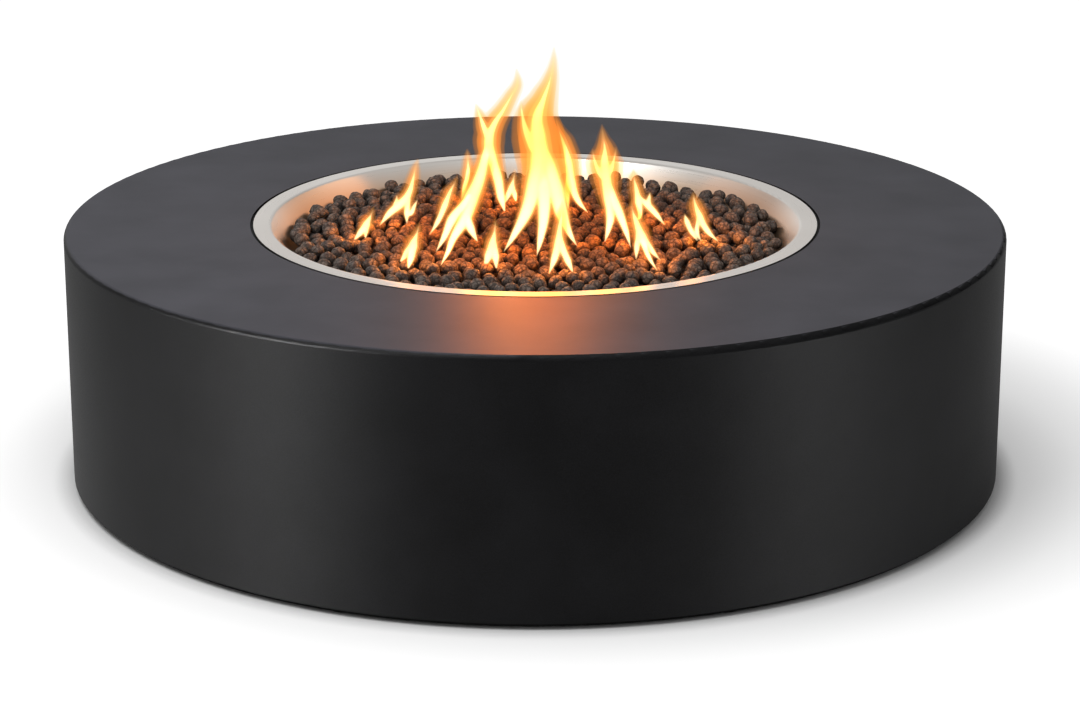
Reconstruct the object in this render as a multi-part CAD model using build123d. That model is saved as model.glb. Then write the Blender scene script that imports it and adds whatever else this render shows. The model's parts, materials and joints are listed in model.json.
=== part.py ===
"""Round gas fire pit: a low sheet-metal drum with a drop-in burner pan full of lava stones.

Millimetres, +Z up. The origin is on the floor, on the drum's axis. The plain side faces -Y,
and the access door, the controls and the gas inlet are on the rear, towards +Y.
"""

from build123d import *
import math
import os

# Drum casing
DRUM_D = 1220.0
TOTAL_H = 330.0
SHEET = 3.0
EDGE_R = 6.0
SKIRT_H = 2.0
FLOOR_GAP = 8.0
FOOT_W = 62.0

# Plinth, pads and bolts under the wall
PLINTH_RECESS = 6.0
PLINTH_W = 60.0
PAD_D = 50.0
PAD_T = 3.0
PAD_COUNT = 8
BOLT_D = 8.0
BOLT_HEAD_AF = 13.0
BOLT_HEAD_H = 5.3
BOLT_COUNT = 8

# Ribs under the deck and the ring that the pan hangs on
RIB_COUNT = 8
RIB_T = 5.0
RIB_LEG_W = 40.0
RIB_ARM_H = 55.0
RIB_TIP_H = 30.0
LEDGE_T = 4.0
LEDGE_W = 25.0
LEDGE_CLEAR = 6.0

# Burner pan
FLANGE_D = 734.0
FLANGE_W = 22.0
FLANGE_GAP = 4.0
PAN_T = 2.0
PAN_DEPTH = 85.0
PAN_SLOPE = 40.0
PAN_BEND_R = 3.0
GASKET_T = 1.0
GASKET_MARGIN = 1.5
DRAIN_D = 8.0
DRAIN_COUNT = 6

# Lava stones
STONE_D = 24.0
STONE_SPREAD = 3.0
STONE_PITCH = 26.0
STONE_DROP = 22.0
STONE_CROWN = 11.0
STONE_SINK = 2.5
GOLDEN_ANGLE = 137.508

# Burner
TUBE_D = 19.0
TUBE_WALL = 1.5
SPOKE_D = 14.0
SPOKE_COUNT = 4
HUB_D = 36.0
HUB_H = 26.0
HUB_WALL = 3.5
RING_MARGIN = 72.0
PORT_D = 2.4
PORT_PITCH = 36.0
FOOT_D = 12.0

# Gas pipe under the pan
PIPE_D = 21.3
PIPE_WALL = 2.7
PIPE_TAIL = 34.0
PIPE_GRIP = 10.0
PIPE_NUT_AF = 32.0
PIPE_NUT_T = 8.0
MIXER_D = 34.0
MIXER_H = 56.0
MIXER_THROAT_D = 12.0
AIR_HOLE_D = 9.0
AIR_HOLE_COUNT = 4
ELBOW_D = 20.0
ELBOW_BORE = 10.0
ELBOW_DROP = 22.0
ELBOW_REACH = 48.0

# Burner hose
HOSE_D = 14.0
HOSE_WALL = 2.0
HOSE_ANGLE = 58.0
HOSE_NUT_AF = 24.0
HOSE_NUT_L = 18.0
HOSE_LEAD = 60.0
HOSE_TAIL = 95.0
HOSE_SAG = 24.0
HOSE_RADII = (80.0, 150.0, 60.0)

# Control plate on the rear of the wall
CONTROL_ANGLE = 45.0
CONTROL_LIFT = 25.0
CONTROL_W = 190.0
CONTROL_H = 90.0
CONTROL_T = 2.0
CONTROL_CORNER = 12.0
CONTROL_PITCH = 76.0
CONTROL_LAP_X = 20.0
CONTROL_LAP_Y = 13.0
SCREW_D = 4.0
SCREW_HEAD_D = 8.0
SCREW_HEAD_H = 2.5
SCREW_SOCKET_AF = 2.5
SCREW_L = 12.0
SCREW_INSET = 10.0

# Gas valve
VALVE_SIDE = 11.0
VALVE_END = 10.0
BONNET_T = 10.0
NECK_D = 16.0
NECK_NUT_AF = 22.0
NECK_NUT_T = 5.0
NECK_PROUD = 1.0
PLUG_D = 22.0
PLUG_WALL = 4.0
PLUG_PASSAGE_D = 7.0
STEM_D = 8.0
STEM_FLAT = 3.0
STEM_GRIP = 9.0
ROD_D = 3.0
ROD_REACH = 3.0
PORT_BOSS_D = 20.0
PORT_BOSS_L = 14.0
PORT_BORE = 9.0
MAGNET_D = 18.0
MAGNET_L = 28.0
MAGNET_ROOM_D = 10.0
MAGNET_STUB_D = 8.0
MAGNET_STUB_L = 8.0

# Valve knob and its bezel
KNOB_D = 46.0
KNOB_H = 24.0
KNOB_SKIRT_H = 8.0
KNOB_BAR_W = 13.0
KNOB_BORE_L = 13.0
KNOB_TRAVEL = 4.0
KNOB_EDGE = 1.5
BEZEL_D = 62.0
BEZEL_T = 3.0

# Gas inlet
INLET_Z = 60.0
INLET_D = 21.0
INLET_BORE = 10.0
INLET_THREAD_L = 20.0
INLET_HEX_AF = 30.0
INLET_HEX_T = 6.0
INLET_NUT_T = 6.0
INLET_RISE = 24.0
RISER_D = 12.0
RISER_WALL = 1.5
RISER_NUT_AF = 19.0
RISER_NUT_L = 14.0

# Igniter
IGNITER_WALL = 3.0
IGNITER_FLANGE_D = 34.0
IGNITER_FLANGE_T = 3.0
IGNITER_NUT_AF = 30.0
IGNITER_NUT_T = 7.0
BATTERY_D = 14.5
BATTERY_L = 50.5
BATTERY_NUB_D = 5.5
BATTERY_NUB_L = 1.0
BUTTON_D = 18.0
BUTTON_PROUD = 6.0
BUTTON_TRAVEL = 3.0
BUTTON_SEAT = 2.0
BUTTON_EDGE = 1.5
SPRING_D = 10.0
SPRING_WIRE = 0.9
SPRING_SOLID_H = 4.0
IGNITER_END_T = 3.0
TERMINAL_D = 6.0
TERMINAL_L = 8.0

# Spark electrode and thermocouple in the pan
SENSOR_GAP = 14.0
SENSOR_SPLIT = 10.0
CERAMIC_D = 8.0
CERAMIC_UP = 20.0
CERAMIC_DOWN = 28.0
SENSOR_FLANGE_D = 14.0
SENSOR_FLANGE_T = 4.0
SENSOR_NUT_AF = 14.0
SENSOR_NUT_T = 5.0
SPARK_ROD_D = 2.4
SPARK_ROD_UP = 16.0
SPARK_ROD_DOWN = 10.0
PROBE_D = 5.0
PROBE_UP = 34.0
PROBE_DOWN = 28.0

# Leads
IGNITION_LEAD_D = 5.0
SENSOR_LEAD_D = 3.0
LEAD_DROP = 34.0
LEAD_TAIL = 45.0
LEAD_SAG = 18.0
LEAD_RADII = (22.0, 120.0, 30.0)

# Access door, its frame, hinges and latch
DOOR_W = 300.0
DOOR_H = 150.0
DOOR_CORNER = 10.0
DOOR_SEAM = 3.0
FRAME_T = 3.0
FRAME_LAP = 18.0
FRAME_STOP = 14.0
HINGE_SPREAD = 90.0
KNUCKLE_D = 10.0
KNUCKLE_L = 14.0
KNUCKLE_LIFT = 0.5
HINGE_PIN_D = 5.0
PIN_HEAD_D = 8.0
PIN_HEAD_T = 1.5
LEAF_T = 2.0
LEAF_W = 22.0
LATCH_INSET = 30.0
LATCH_D = 28.0
LATCH_DISC_T = 3.5
LATCH_BAR_W = 7.0
LATCH_BAR_H = 5.0
LATCH_SHAFT_D = 10.0
LATCH_FLAT = 3.5
BUSH_D = 16.0
BUSH_FLANGE_D = 24.0
BUSH_FLANGE_T = 2.0
CAM_L = 34.0
CAM_W = 16.0
CAM_T = 3.0
CAM_SCREW_D = 4.0
CAM_SCREW_HEAD_D = 12.0
CAM_SCREW_HEAD_H = 2.5
CAM_SCREW_L = 8.0

# Clearances
WELD_GAP = 0.1
HOLE_CLEAR = 0.3
TAP_CLEAR = 0.05
RUN_CLEAR = 0.06
SLIDE_CLEAR = 0.1
SIDE_CLEAR = 0.3
STONE_CLEAR = 0.4
TRENCH_CLEAR = 2.0
CAM_CLEAR = 0.6
END_CLEAR = 1.5

# Levels and radii that follow from the sizes
DRUM_R = DRUM_D / 2
WALL_TOP = TOTAL_H - EDGE_R - SKIRT_H
WALL_MID = (FLOOR_GAP + WALL_TOP) / 2
WALL_INNER_R = DRUM_R - SHEET
FOOT_TOP = FLOOR_GAP + SHEET
DECK_UNDER = TOTAL_H - SHEET
PLINTH_R = DRUM_R - PLINTH_RECESS
BOLT_CIRCLE_R = (DRUM_R - FOOT_W + PLINTH_R) / 2
FLANGE_R = FLANGE_D / 2
OPENING_R = FLANGE_R + FLANGE_GAP
MOUTH_R = FLANGE_R - FLANGE_W
PAN_TOP = DECK_UNDER + GASKET_T + PAN_T
PAN_FLOOR = PAN_TOP - PAN_DEPTH
PAN_UNDER = PAN_FLOOR - PAN_T
LEDGE_IN_R = MOUTH_R + LEDGE_CLEAR
LEDGE_OUT_R = OPENING_R + LEDGE_W
LEDGE_UNDER = DECK_UNDER - LEDGE_T
HUB_BOTTOM = PAN_FLOOR + PIPE_NUT_T
TUBE_Z = HUB_BOTTOM + HUB_H / 2
MIXER_TOP = PAN_UNDER - PIPE_TAIL + PIPE_GRIP
MIXER_BOTTOM = MIXER_TOP - MIXER_H
ELBOW_Z = MIXER_BOTTOM - ELBOW_DROP
CONTROL_Z = WALL_MID + CONTROL_LIFT
CONTROL_OUT_R = DRUM_R + CONTROL_T
LEAF_OUT_R = DRUM_R + LEAF_T

BOTTOM = (Align.CENTER, Align.CENTER, Align.MIN)


# Helpers

def disc(radius, z_low, z_high):
    """Upright cylinder between two heights."""
    return Pos(0, 0, z_low) * Cylinder(radius, z_high - z_low, align=BOTTOM)


def ring(r_in, r_out, z_low, z_high):
    """Upright tube between two heights."""
    return disc(r_out, z_low, z_high) - disc(r_in, z_low, z_high)


def block(width, height, z_low, z_high):
    """Box between two heights, centred on the z axis."""
    return Pos(0, 0, z_low) * Box(width, height, z_high - z_low, align=BOTTOM)


def hexagon(across_flats, z_low, z_high):
    """Hexagonal bar between two heights."""
    face = Pos(0, 0, z_low) * RegularPolygon(across_flats / 2, 6, major_radius=False)
    return extrude(face, amount=z_high - z_low)


def d_bar(diameter, flat, z_low, z_high):
    """Round bar with one flat, at this distance from its axis."""
    face = Circle(diameter / 2) - Pos(flat + diameter, 0) * Rectangle(2 * diameter, 2 * diameter)
    return extrude(Pos(0, 0, z_low) * face, amount=z_high - z_low)


def around(count, phase, piece):
    """Copies of a piece, evenly spaced round the drum's axis."""
    return [Rot(0, 0, phase + 360 * i / count) * piece for i in range(count)]


def group(pieces):
    """Separate solids in one node."""
    return Compound(children=list(pieces))


def outward(angle):
    """Level direction away from the axis; 0 is the rear, and 90 is -X."""
    turn = math.radians(angle)
    return Vector(-math.sin(turn), math.cos(turn), 0)


def station(angle, height):
    """Frame on the outside of the wall: z outward, y up, x to the right seen from outside."""
    turn = math.radians(angle)
    across = Vector(-math.cos(turn), -math.sin(turn), 0)
    spot = outward(angle) * DRUM_R + Vector(0, 0, height)
    return Plane(origin=spot, x_dir=across, z_dir=outward(angle))


def wall_angle(across):
    """Turn round the axis for a distance across the wall."""
    return math.degrees(math.asin(across / DRUM_R))


def inside(radius):
    """Everything within this distance of the drum's axis."""
    return disc(radius, 0, TOTAL_H)


def shell(r_in, r_out):
    """Full-height tube that curved sheet pieces are cut from."""
    return ring(r_in, r_out, 0, TOTAL_H)


def tube(points, radii, diameter, wall):
    """Round tube along straight runs joined by tangent arcs; wall 0 makes a solid cord."""
    path = FilletPolyline(*points, radius=radii)
    section = Circle(diameter / 2)
    if wall > 0:
        section = section - Circle(diameter / 2 - wall)
    start = Plane(origin=path @ 0, z_dir=path % 0)
    return sweep(start * section, path=path)


def turned_solid(outline):
    """Solid of revolution from a closed outline of radius and height."""
    return revolve(Plane.XZ * make_face(outline.edges()), axis=Axis.Z)


def pan_radius(height):
    """Inside radius of the pan's sloping wall at a height."""
    return MOUTH_R - (PAN_TOP - height) * math.tan(math.radians(PAN_SLOPE))


STONE_EDGE_Z = PAN_TOP - STONE_DROP
STONE_EDGE_R = pan_radius(STONE_EDGE_Z) - STONE_CLEAR
IGNITER_D = BUTTON_D + 2 * IGNITER_WALL
RING_R = pan_radius(PAN_FLOOR) - RING_MARGIN
INNER_RING_R = RING_R / 2
SENSOR_R = INNER_RING_R + TUBE_D / 2 + SENSOR_GAP
VALVE_ANGLE = CONTROL_ANGLE + wall_angle(CONTROL_PITCH / 2)
IGNITER_ANGLE = CONTROL_ANGLE - wall_angle(CONTROL_PITCH / 2)
SPARK_ANGLE = CONTROL_ANGLE - SENSOR_SPLIT
PROBE_ANGLE = CONTROL_ANGLE + SENSOR_SPLIT
VALVE = station(VALVE_ANGLE, CONTROL_Z)
IGNITER = station(IGNITER_ANGLE, CONTROL_Z)
INLET = station(VALVE_ANGLE, INLET_Z)


# Casing

def rear_prism(width, height, corner):
    """Rounded window shape through the rear of the wall, square to it at the middle."""
    window = Plane(origin=(0, 0, WALL_MID), x_dir=(-1, 0, 0), z_dir=(0, 1, 0))
    return extrude(window * RectangleRounded(width, height, corner), amount=DRUM_D)


def control_prism(width, height, corner):
    """Rounded window shape through the wall at the controls."""
    window = station(CONTROL_ANGLE, CONTROL_Z).offset(-DRUM_R / 2)
    return extrude(window * RectangleRounded(width, height, corner), amount=DRUM_R)


def screw_stations():
    """Frames of the four screws at the control plate's corners."""
    turn = wall_angle(CONTROL_W / 2 - SCREW_INSET)
    rise = CONTROL_H / 2 - SCREW_INSET
    return [station(CONTROL_ANGLE + i * turn, CONTROL_Z + j * rise) for i in (-1, 1) for j in (-1, 1)]


def drum_wall():
    wall = ring(WALL_INNER_R, DRUM_R, FLOOR_GAP, WALL_TOP)
    wall -= rear_prism(DOOR_W, DOOR_H, DOOR_CORNER)
    wall -= control_prism(CONTROL_W - 2 * CONTROL_LAP_X, CONTROL_H - 2 * CONTROL_LAP_Y, CONTROL_CORNER)
    wall -= INLET * disc(INLET_D / 2 + HOLE_CLEAR, -FOOT_W / 2, FOOT_W / 2)
    screw_hole = disc(SCREW_D / 2 + TAP_CLEAR, -SCREW_L, SCREW_L)
    wall -= [spot * screw_hole for spot in screw_stations()]
    return wall


def foot_ring():
    """Flat ring welded inside the wall's lower edge, which stands on the plinth."""
    foot = ring(DRUM_R - FOOT_W, WALL_INNER_R - WELD_GAP, FLOOR_GAP, FOOT_TOP)
    bolt_hole = Pos(BOLT_CIRCLE_R, 0, 0) * disc(BOLT_D / 2 + HOLE_CLEAR, 0, 2 * FOOT_TOP)
    return foot - around(BOLT_COUNT, 0, bolt_hole)


def deck_plate():
    """Flat ring with its outer edge rolled down onto the wall."""
    outline = FilletPolyline(
        (OPENING_R, TOTAL_H),
        (DRUM_R, TOTAL_H),
        (DRUM_R, WALL_TOP),
        (WALL_INNER_R, WALL_TOP),
        (WALL_INNER_R, DECK_UNDER),
        (OPENING_R, DECK_UNDER),
        radius=(0, EDGE_R, 0, 0, max(EDGE_R - SHEET, 0), 0),
        close=True,
    )
    return turned_solid(outline)


def plinth_ring():
    plinth = ring(PLINTH_R - PLINTH_W, PLINTH_R, PAD_T, FLOOR_GAP)
    tapped = Pos(BOLT_CIRCLE_R, 0, 0) * disc(BOLT_D / 2 + TAP_CLEAR, 0, FOOT_TOP)
    return plinth - around(BOLT_COUNT, 0, tapped)


def ground_pads():
    pad = Pos(PLINTH_R - PLINTH_W / 2, 0, 0) * disc(PAD_D / 2, 0, PAD_T)
    return group(around(PAD_COUNT, 180 / PAD_COUNT, pad))


def plinth_bolts():
    bolt = hexagon(BOLT_HEAD_AF, FOOT_TOP, FOOT_TOP + BOLT_HEAD_H)
    bolt += disc(BOLT_D / 2, PAD_T + TAP_CLEAR, FOOT_TOP + BOLT_HEAD_H / 2)
    return group(around(BOLT_COUNT, 0, Pos(BOLT_CIRCLE_R, 0, 0) * bolt))


def deck_ribs():
    """L-shaped plates: a leg down the wall and an arm under the deck that carries the ledge ring."""
    wall_r = WALL_INNER_R - WELD_GAP
    ring_r = LEDGE_OUT_R + WELD_GAP
    outline = Polyline(
        (LEDGE_IN_R, LEDGE_UNDER),
        (ring_r, LEDGE_UNDER),
        (ring_r, DECK_UNDER),
        (DRUM_R - 2 * EDGE_R, DECK_UNDER),
        (wall_r, DECK_UNDER - 2 * EDGE_R),
        (wall_r, FOOT_TOP),
        (wall_r - RIB_LEG_W, FOOT_TOP),
        (wall_r - RIB_LEG_W, DECK_UNDER - RIB_ARM_H),
        (LEDGE_IN_R, LEDGE_UNDER - RIB_TIP_H),
        close=True,
    )
    rib = extrude(Plane.XZ * make_face(outline.edges()), amount=RIB_T / 2, both=True)
    return group(around(RIB_COUNT, 180 / RIB_COUNT, rib))


def pan_ledge_ring():
    return ring(LEDGE_IN_R, LEDGE_OUT_R, LEDGE_UNDER, DECK_UNDER)


def pan_gasket():
    return ring(LEDGE_IN_R + GASKET_MARGIN, FLANGE_R - GASKET_MARGIN, DECK_UNDER, DECK_UNDER + GASKET_T)


# Burner pan and stones

def sensor_spot(angle):
    return Pos(outward(angle) * SENSOR_R)


def burner_pan():
    """Pressed pan: flat flange, sloping wall and flat floor, all one sheet."""
    slant = PAN_T / math.cos(math.radians(PAN_SLOPE))
    under = PAN_TOP - PAN_T
    outside_bend = PAN_BEND_R + PAN_T
    outline = FilletPolyline(
        (FLANGE_R, PAN_TOP),
        (MOUTH_R, PAN_TOP),
        (pan_radius(PAN_FLOOR), PAN_FLOOR),
        (0, PAN_FLOOR),
        (0, PAN_UNDER),
        (pan_radius(PAN_UNDER) + slant, PAN_UNDER),
        (pan_radius(under) + slant, under),
        (FLANGE_R, under),
        radius=(0, outside_bend, PAN_BEND_R, 0, 0, outside_bend, PAN_BEND_R, 0),
        close=True,
    )
    pan = turned_solid(outline)
    pan -= disc(PIPE_D / 2 + HOLE_CLEAR, 0, TOTAL_H)
    drain = Pos((RING_R + pan_radius(PAN_FLOOR)) / 2, 0, 0) * disc(DRAIN_D / 2, 0, TOTAL_H)
    pan -= around(DRAIN_COUNT, 0, drain)
    pan -= sensor_spot(SPARK_ANGLE) * disc(CERAMIC_D / 2 + HOLE_CLEAR, 0, TOTAL_H)
    pan -= sensor_spot(PROBE_ANGLE) * disc(PROBE_D / 2 + HOLE_CLEAR, 0, TOTAL_H)
    return pan


def crown_height(reach):
    """Height of the crowned fill at a distance from the axis, on a large sphere."""
    sphere_r = (STONE_EDGE_R ** 2 + STONE_CROWN ** 2) / (2 * STONE_CROWN)
    return STONE_EDGE_Z + STONE_CROWN - sphere_r + math.sqrt(sphere_r ** 2 - reach ** 2)


def stone_fill():
    """Crowned fill that the top layer of stones stands in, shaped to the pan."""
    floor_z = PAN_FLOOR + STONE_CLEAR
    floor_r = pan_radius(PAN_FLOOR) - PAN_BEND_R
    peak = (0, crown_height(0))
    halfway = (STONE_EDGE_R / 2, crown_height(STONE_EDGE_R / 2))
    edge = (STONE_EDGE_R, STONE_EDGE_Z)
    outline = ThreePointArc(peak, halfway, edge) + Polyline(edge, (floor_r, floor_z), (0, floor_z), peak)
    return turned_solid(outline)


def stone_tops():
    """Top layer of stones, in a sunflower pattern over the crown."""
    spacing = STONE_PITCH / math.sqrt(math.pi)
    wall_room = (STONE_D / 2 + STONE_CLEAR) / math.cos(math.radians(PAN_SLOPE))
    last_reach = pan_radius(STONE_EDGE_Z - STONE_SINK) - wall_room
    stones = []
    for i in range(1, int((last_reach / spacing) ** 2) + 1):
        reach = spacing * math.sqrt(i)
        turn = math.radians(GOLDEN_ANGLE * i)
        size = STONE_D - STONE_SPREAD * (1 + math.sin(i)) / 2
        height = crown_height(reach) - STONE_SINK
        stones.append(Pos(reach * math.cos(turn), reach * math.sin(turn), height) * Sphere(size / 2))
    return stones


def lava_stones():
    """Loose fill as one solid, with room in it for the burner and the sensors."""
    half_tube = TUBE_D / 2 + TRENCH_CLEAR
    trench_top = TUBE_Z + half_tube
    fill = stone_fill()
    fill -= disc(HUB_D / 2 + TRENCH_CLEAR, 0, HUB_BOTTOM + HUB_H + TRENCH_CLEAR)
    for radius in (RING_R, INNER_RING_R):
        fill -= ring(radius - half_tube, radius + half_tube, 0, trench_top)
    spoke_room = Pos(RING_R / 2, 0, 0) * block(RING_R, SPOKE_D + 2 * TRENCH_CLEAR, 0, trench_top)
    fill -= around(SPOKE_COUNT, 0, spoke_room)
    sensor_top = PAN_FLOOR + max(CERAMIC_UP + SPARK_ROD_UP, PROBE_UP) + TRENCH_CLEAR
    for angle in (SPARK_ANGLE, PROBE_ANGLE):
        fill -= sensor_spot(angle) * disc(SENSOR_FLANGE_D / 2 + TRENCH_CLEAR, 0, sensor_top)
    return fill.fuse(*stone_tops())


# Burner and the pipe under it

def spoke_bar(diameter):
    """Level bar from the axis along +X, out to the middle of the outer ring."""
    return Pos(0, 0, TUBE_Z) * Rot(0, 90, 0) * disc(diameter / 2, 0, RING_R)


def ring_bar(radius, diameter):
    """Level ring of round bar, with its seam between two spokes."""
    return Pos(0, 0, TUBE_Z) * Rot(0, 0, 90 / SPOKE_COUNT) * Torus(radius, diameter / 2)


def burner_ring(radius):
    """Two bent half rings of tube, drilled on top for the flames and on the side for the spokes."""
    section = Pos(radius, TUBE_Z) * (Circle(TUBE_D / 2) - Circle(TUBE_D / 2 - TUBE_WALL))
    half = revolve(Plane.XZ * section, axis=Axis.Z, revolution_arc=180)
    count = SPOKE_COUNT * max(1, round(2 * math.pi * radius / PORT_PITCH / SPOKE_COUNT))
    step = 360 / count
    port = Pos(radius, 0, 0) * disc(PORT_D / 2, TUBE_Z, TUBE_Z + TUBE_D)
    holes = around(count, step / 2, port)
    holes += around(SPOKE_COUNT, 0, spoke_bar(SPOKE_D - 2 * TUBE_WALL))
    seam = step * round(180 / SPOKE_COUNT / step)
    return group(Rot(0, 0, seam + turn) * half - holes for turn in (0, 180))


def burner_outer_ring():
    return burner_ring(RING_R)


def burner_inner_ring():
    return burner_ring(INNER_RING_R)


def burner_hub():
    hub = disc(HUB_D / 2, HUB_BOTTOM, HUB_BOTTOM + HUB_H)
    hub -= disc(HUB_D / 2 - HUB_WALL, HUB_BOTTOM + 2 * HUB_WALL, HUB_BOTTOM + HUB_H - HUB_WALL)
    hub -= disc(PIPE_D / 2 + TAP_CLEAR, HUB_BOTTOM, HUB_BOTTOM + 2 * HUB_WALL)
    return hub - around(SPOKE_COUNT, 0, spoke_bar(SPOKE_D - 2 * TUBE_WALL))


def burner_spokes():
    """Short tubes from the hub to the inner ring, and on from there to the outer ring."""
    tubes = spoke_bar(SPOKE_D) - spoke_bar(SPOKE_D - 2 * TUBE_WALL)
    tubes -= disc(HUB_D / 2 + TAP_CLEAR, 0, TOTAL_H)
    tubes -= ring_bar(INNER_RING_R, TUBE_D + 2 * TAP_CLEAR)
    tubes -= ring_bar(RING_R, TUBE_D + 2 * TAP_CLEAR)
    return group(copy for piece in tubes.solids() for copy in around(SPOKE_COUNT, 0, piece))


def burner_feet():
    """Short posts on the pan floor, saddled to the outer ring."""
    foot = Pos(RING_R, 0, 0) * disc(FOOT_D / 2, PAN_FLOOR, TUBE_Z)
    foot -= Pos(0, 0, TUBE_Z) * Torus(RING_R, TUBE_D / 2 + TAP_CLEAR)
    return group(around(SPOKE_COUNT, 180 / SPOKE_COUNT, foot))


def gas_pipe():
    return ring(PIPE_D / 2 - PIPE_WALL, PIPE_D / 2, PAN_UNDER - PIPE_TAIL, HUB_BOTTOM + HUB_WALL)


def pipe_locknuts():
    bore = disc(PIPE_D / 2 + TAP_CLEAR, 0, TOTAL_H)
    upper = hexagon(PIPE_NUT_AF, PAN_FLOOR, PAN_FLOOR + PIPE_NUT_T)
    lower = hexagon(PIPE_NUT_AF, PAN_UNDER - PIPE_NUT_T, PAN_UNDER)
    return group([upper - bore, lower - bore])


def air_mixer():
    """Brass venturi body on the pipe's lower end, with a ring of air holes."""
    pipe_end = PAN_UNDER - PIPE_TAIL
    mixer = disc(MIXER_D / 2, MIXER_BOTTOM, MIXER_TOP)
    mixer -= disc(PIPE_D / 2 + TAP_CLEAR, pipe_end, TOTAL_H)
    mixer -= disc(MIXER_THROAT_D / 2, 0, TOTAL_H)
    hole_z = (pipe_end + MIXER_BOTTOM) / 2
    hole = Pos(0, 0, hole_z) * Rot(0, 90, 0) * disc(AIR_HOLE_D / 2, 0, MIXER_D)
    return mixer - around(AIR_HOLE_COUNT, 180 / AIR_HOLE_COUNT, hole)


def corner_pipe(diameter, rise, reach):
    """Solid elbow at the origin: one leg up the z axis and one along +y."""
    leg = Rot(-90, 0, 0) * disc(diameter / 2, 0, reach)
    return disc(diameter / 2, 0, rise) + leg + Sphere(diameter / 2)


def mixer_elbow():
    turned = Pos(0, 0, ELBOW_Z) * Rot(0, 0, HOSE_ANGLE)
    body = corner_pipe(ELBOW_D, ELBOW_DROP, ELBOW_REACH)
    bore = corner_pipe(ELBOW_BORE, ELBOW_DROP, ELBOW_REACH)
    return turned * (body - bore)


# Burner hose, between the elbow and the valve

def hose_ends():
    """Elbow outlet and valve outlet, each with the direction away from the fitting."""
    out = outward(HOSE_ANGLE)
    elbow_end = out * ELBOW_REACH + Vector(0, 0, ELBOW_Z)
    valve_end = VALVE.from_local_coords(Vector(VALVE_W / 2 + PORT_BOSS_L, 0, PORT_DEPTH))
    return elbow_end, out, valve_end, VALVE.x_dir


def burner_hose():
    elbow_end, out, valve_end, across = hose_ends()
    first = elbow_end + out * HOSE_LEAD
    last = valve_end + across * HOSE_TAIL
    middle = (first + last) * 0.5 - Vector(0, 0, HOSE_SAG)
    return tube((elbow_end, first, middle, last, valve_end), HOSE_RADII, HOSE_D, HOSE_WALL)


def hose_nuts():
    elbow_end, out, valve_end, across = hose_ends()
    nut = hexagon(HOSE_NUT_AF, 0, HOSE_NUT_L) - disc(HOSE_D / 2 + TAP_CLEAR, 0, HOSE_NUT_L)
    return group([Plane(origin=elbow_end, z_dir=out) * nut, Plane(origin=valve_end, z_dir=across) * nut])


# Control plate

def control_plate():
    plate = shell(DRUM_R, CONTROL_OUT_R) & control_prism(CONTROL_W, CONTROL_H, CONTROL_CORNER)
    plate -= VALVE * disc(NECK_D / 2 + HOLE_CLEAR, -NECK_D, NECK_D)
    plate -= IGNITER * disc(IGNITER_D / 2 + HOLE_CLEAR, -IGNITER_D, IGNITER_D)
    screw_hole = disc(SCREW_D / 2 + HOLE_CLEAR, -SCREW_L, SCREW_L)
    return plate - [spot * screw_hole for spot in screw_stations()]


def control_screws():
    head = disc(SCREW_HEAD_D / 2, CONTROL_T, CONTROL_T + SCREW_HEAD_H)
    head = fillet(head.edges().group_by(Axis.Z)[-1], SCREW_HEAD_H / 2)
    screw = head + disc(SCREW_D / 2, CONTROL_T - SCREW_L, CONTROL_T + SCREW_HEAD_H / 2)
    screw -= hexagon(SCREW_SOCKET_AF, CONTROL_T + SCREW_HEAD_H / 2, CONTROL_T + SCREW_HEAD_H)
    return group([spot * screw for spot in screw_stations()])


# Gas valve, in the frame of its station: the control plate's back is at z 0

VALVE_W = PLUG_D + 2 * VALVE_SIDE
VALVE_FRONT = -BONNET_T
STEM_INNER = VALVE_FRONT - STEM_GRIP
SOCKET_END = STEM_INNER - KNOB_TRAVEL - END_CLEAR
PORT_DEPTH = SOCKET_END - PLUG_WALL - PLUG_PASSAGE_D / 2
PLUG_BACK = PORT_DEPTH - PLUG_PASSAGE_D / 2 - PLUG_WALL
VALVE_BACK = PLUG_BACK - VALVE_END
ROD_END = VALVE_BACK - ROD_REACH
MAGNET_ROOM_END = ROD_END - KNOB_TRAVEL - END_CLEAR
BEZEL_FRONT = CONTROL_T + BEZEL_T
NECK_TOP = BEZEL_FRONT + NECK_NUT_T + NECK_PROUD
KNOB_BACK = BEZEL_FRONT + KNOB_TRAVEL + END_CLEAR
KNOB_POCKET_END = NECK_TOP + KNOB_TRAVEL + END_CLEAR
KNOB_POCKET_R = NECK_NUT_AF / math.sqrt(3) + END_CLEAR
STEM_OUTER = KNOB_POCKET_END + KNOB_BORE_L


def valve_body():
    """Block with the plug's chamber, an inlet below and an outlet to the right."""
    body = block(VALVE_W, VALVE_W, VALVE_BACK, VALVE_FRONT)
    boss = disc(PORT_BOSS_D / 2, 0, VALVE_W / 2 + PORT_BOSS_L)
    bore = disc(PORT_BORE / 2, 0, VALVE_W / 2 + PORT_BOSS_L)
    sides = [Pos(0, 0, PORT_DEPTH) * Rot(90, 0, 0), Pos(0, 0, PORT_DEPTH) * Rot(0, 90, 0)]
    body += [side * boss for side in sides]
    body -= [side * bore for side in sides]
    body -= disc(PLUG_D / 2 + SLIDE_CLEAR, PLUG_BACK - SLIDE_CLEAR, VALVE_FRONT)
    body -= disc(ROD_D / 2 + SLIDE_CLEAR, VALVE_BACK, VALVE_FRONT)
    return VALVE * body


def valve_bonnet():
    """Front cover of the valve, seated on the back of the control plate, with a threaded neck."""
    cover = VALVE * block(VALVE_W, VALVE_W, VALVE_FRONT, VALVE_W) & inside(DRUM_R)
    cover += VALVE * disc(NECK_D / 2, VALVE_FRONT, NECK_TOP)
    return cover - VALVE * disc(STEM_D / 2 + RUN_CLEAR, VALVE_FRONT, NECK_TOP)


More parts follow.
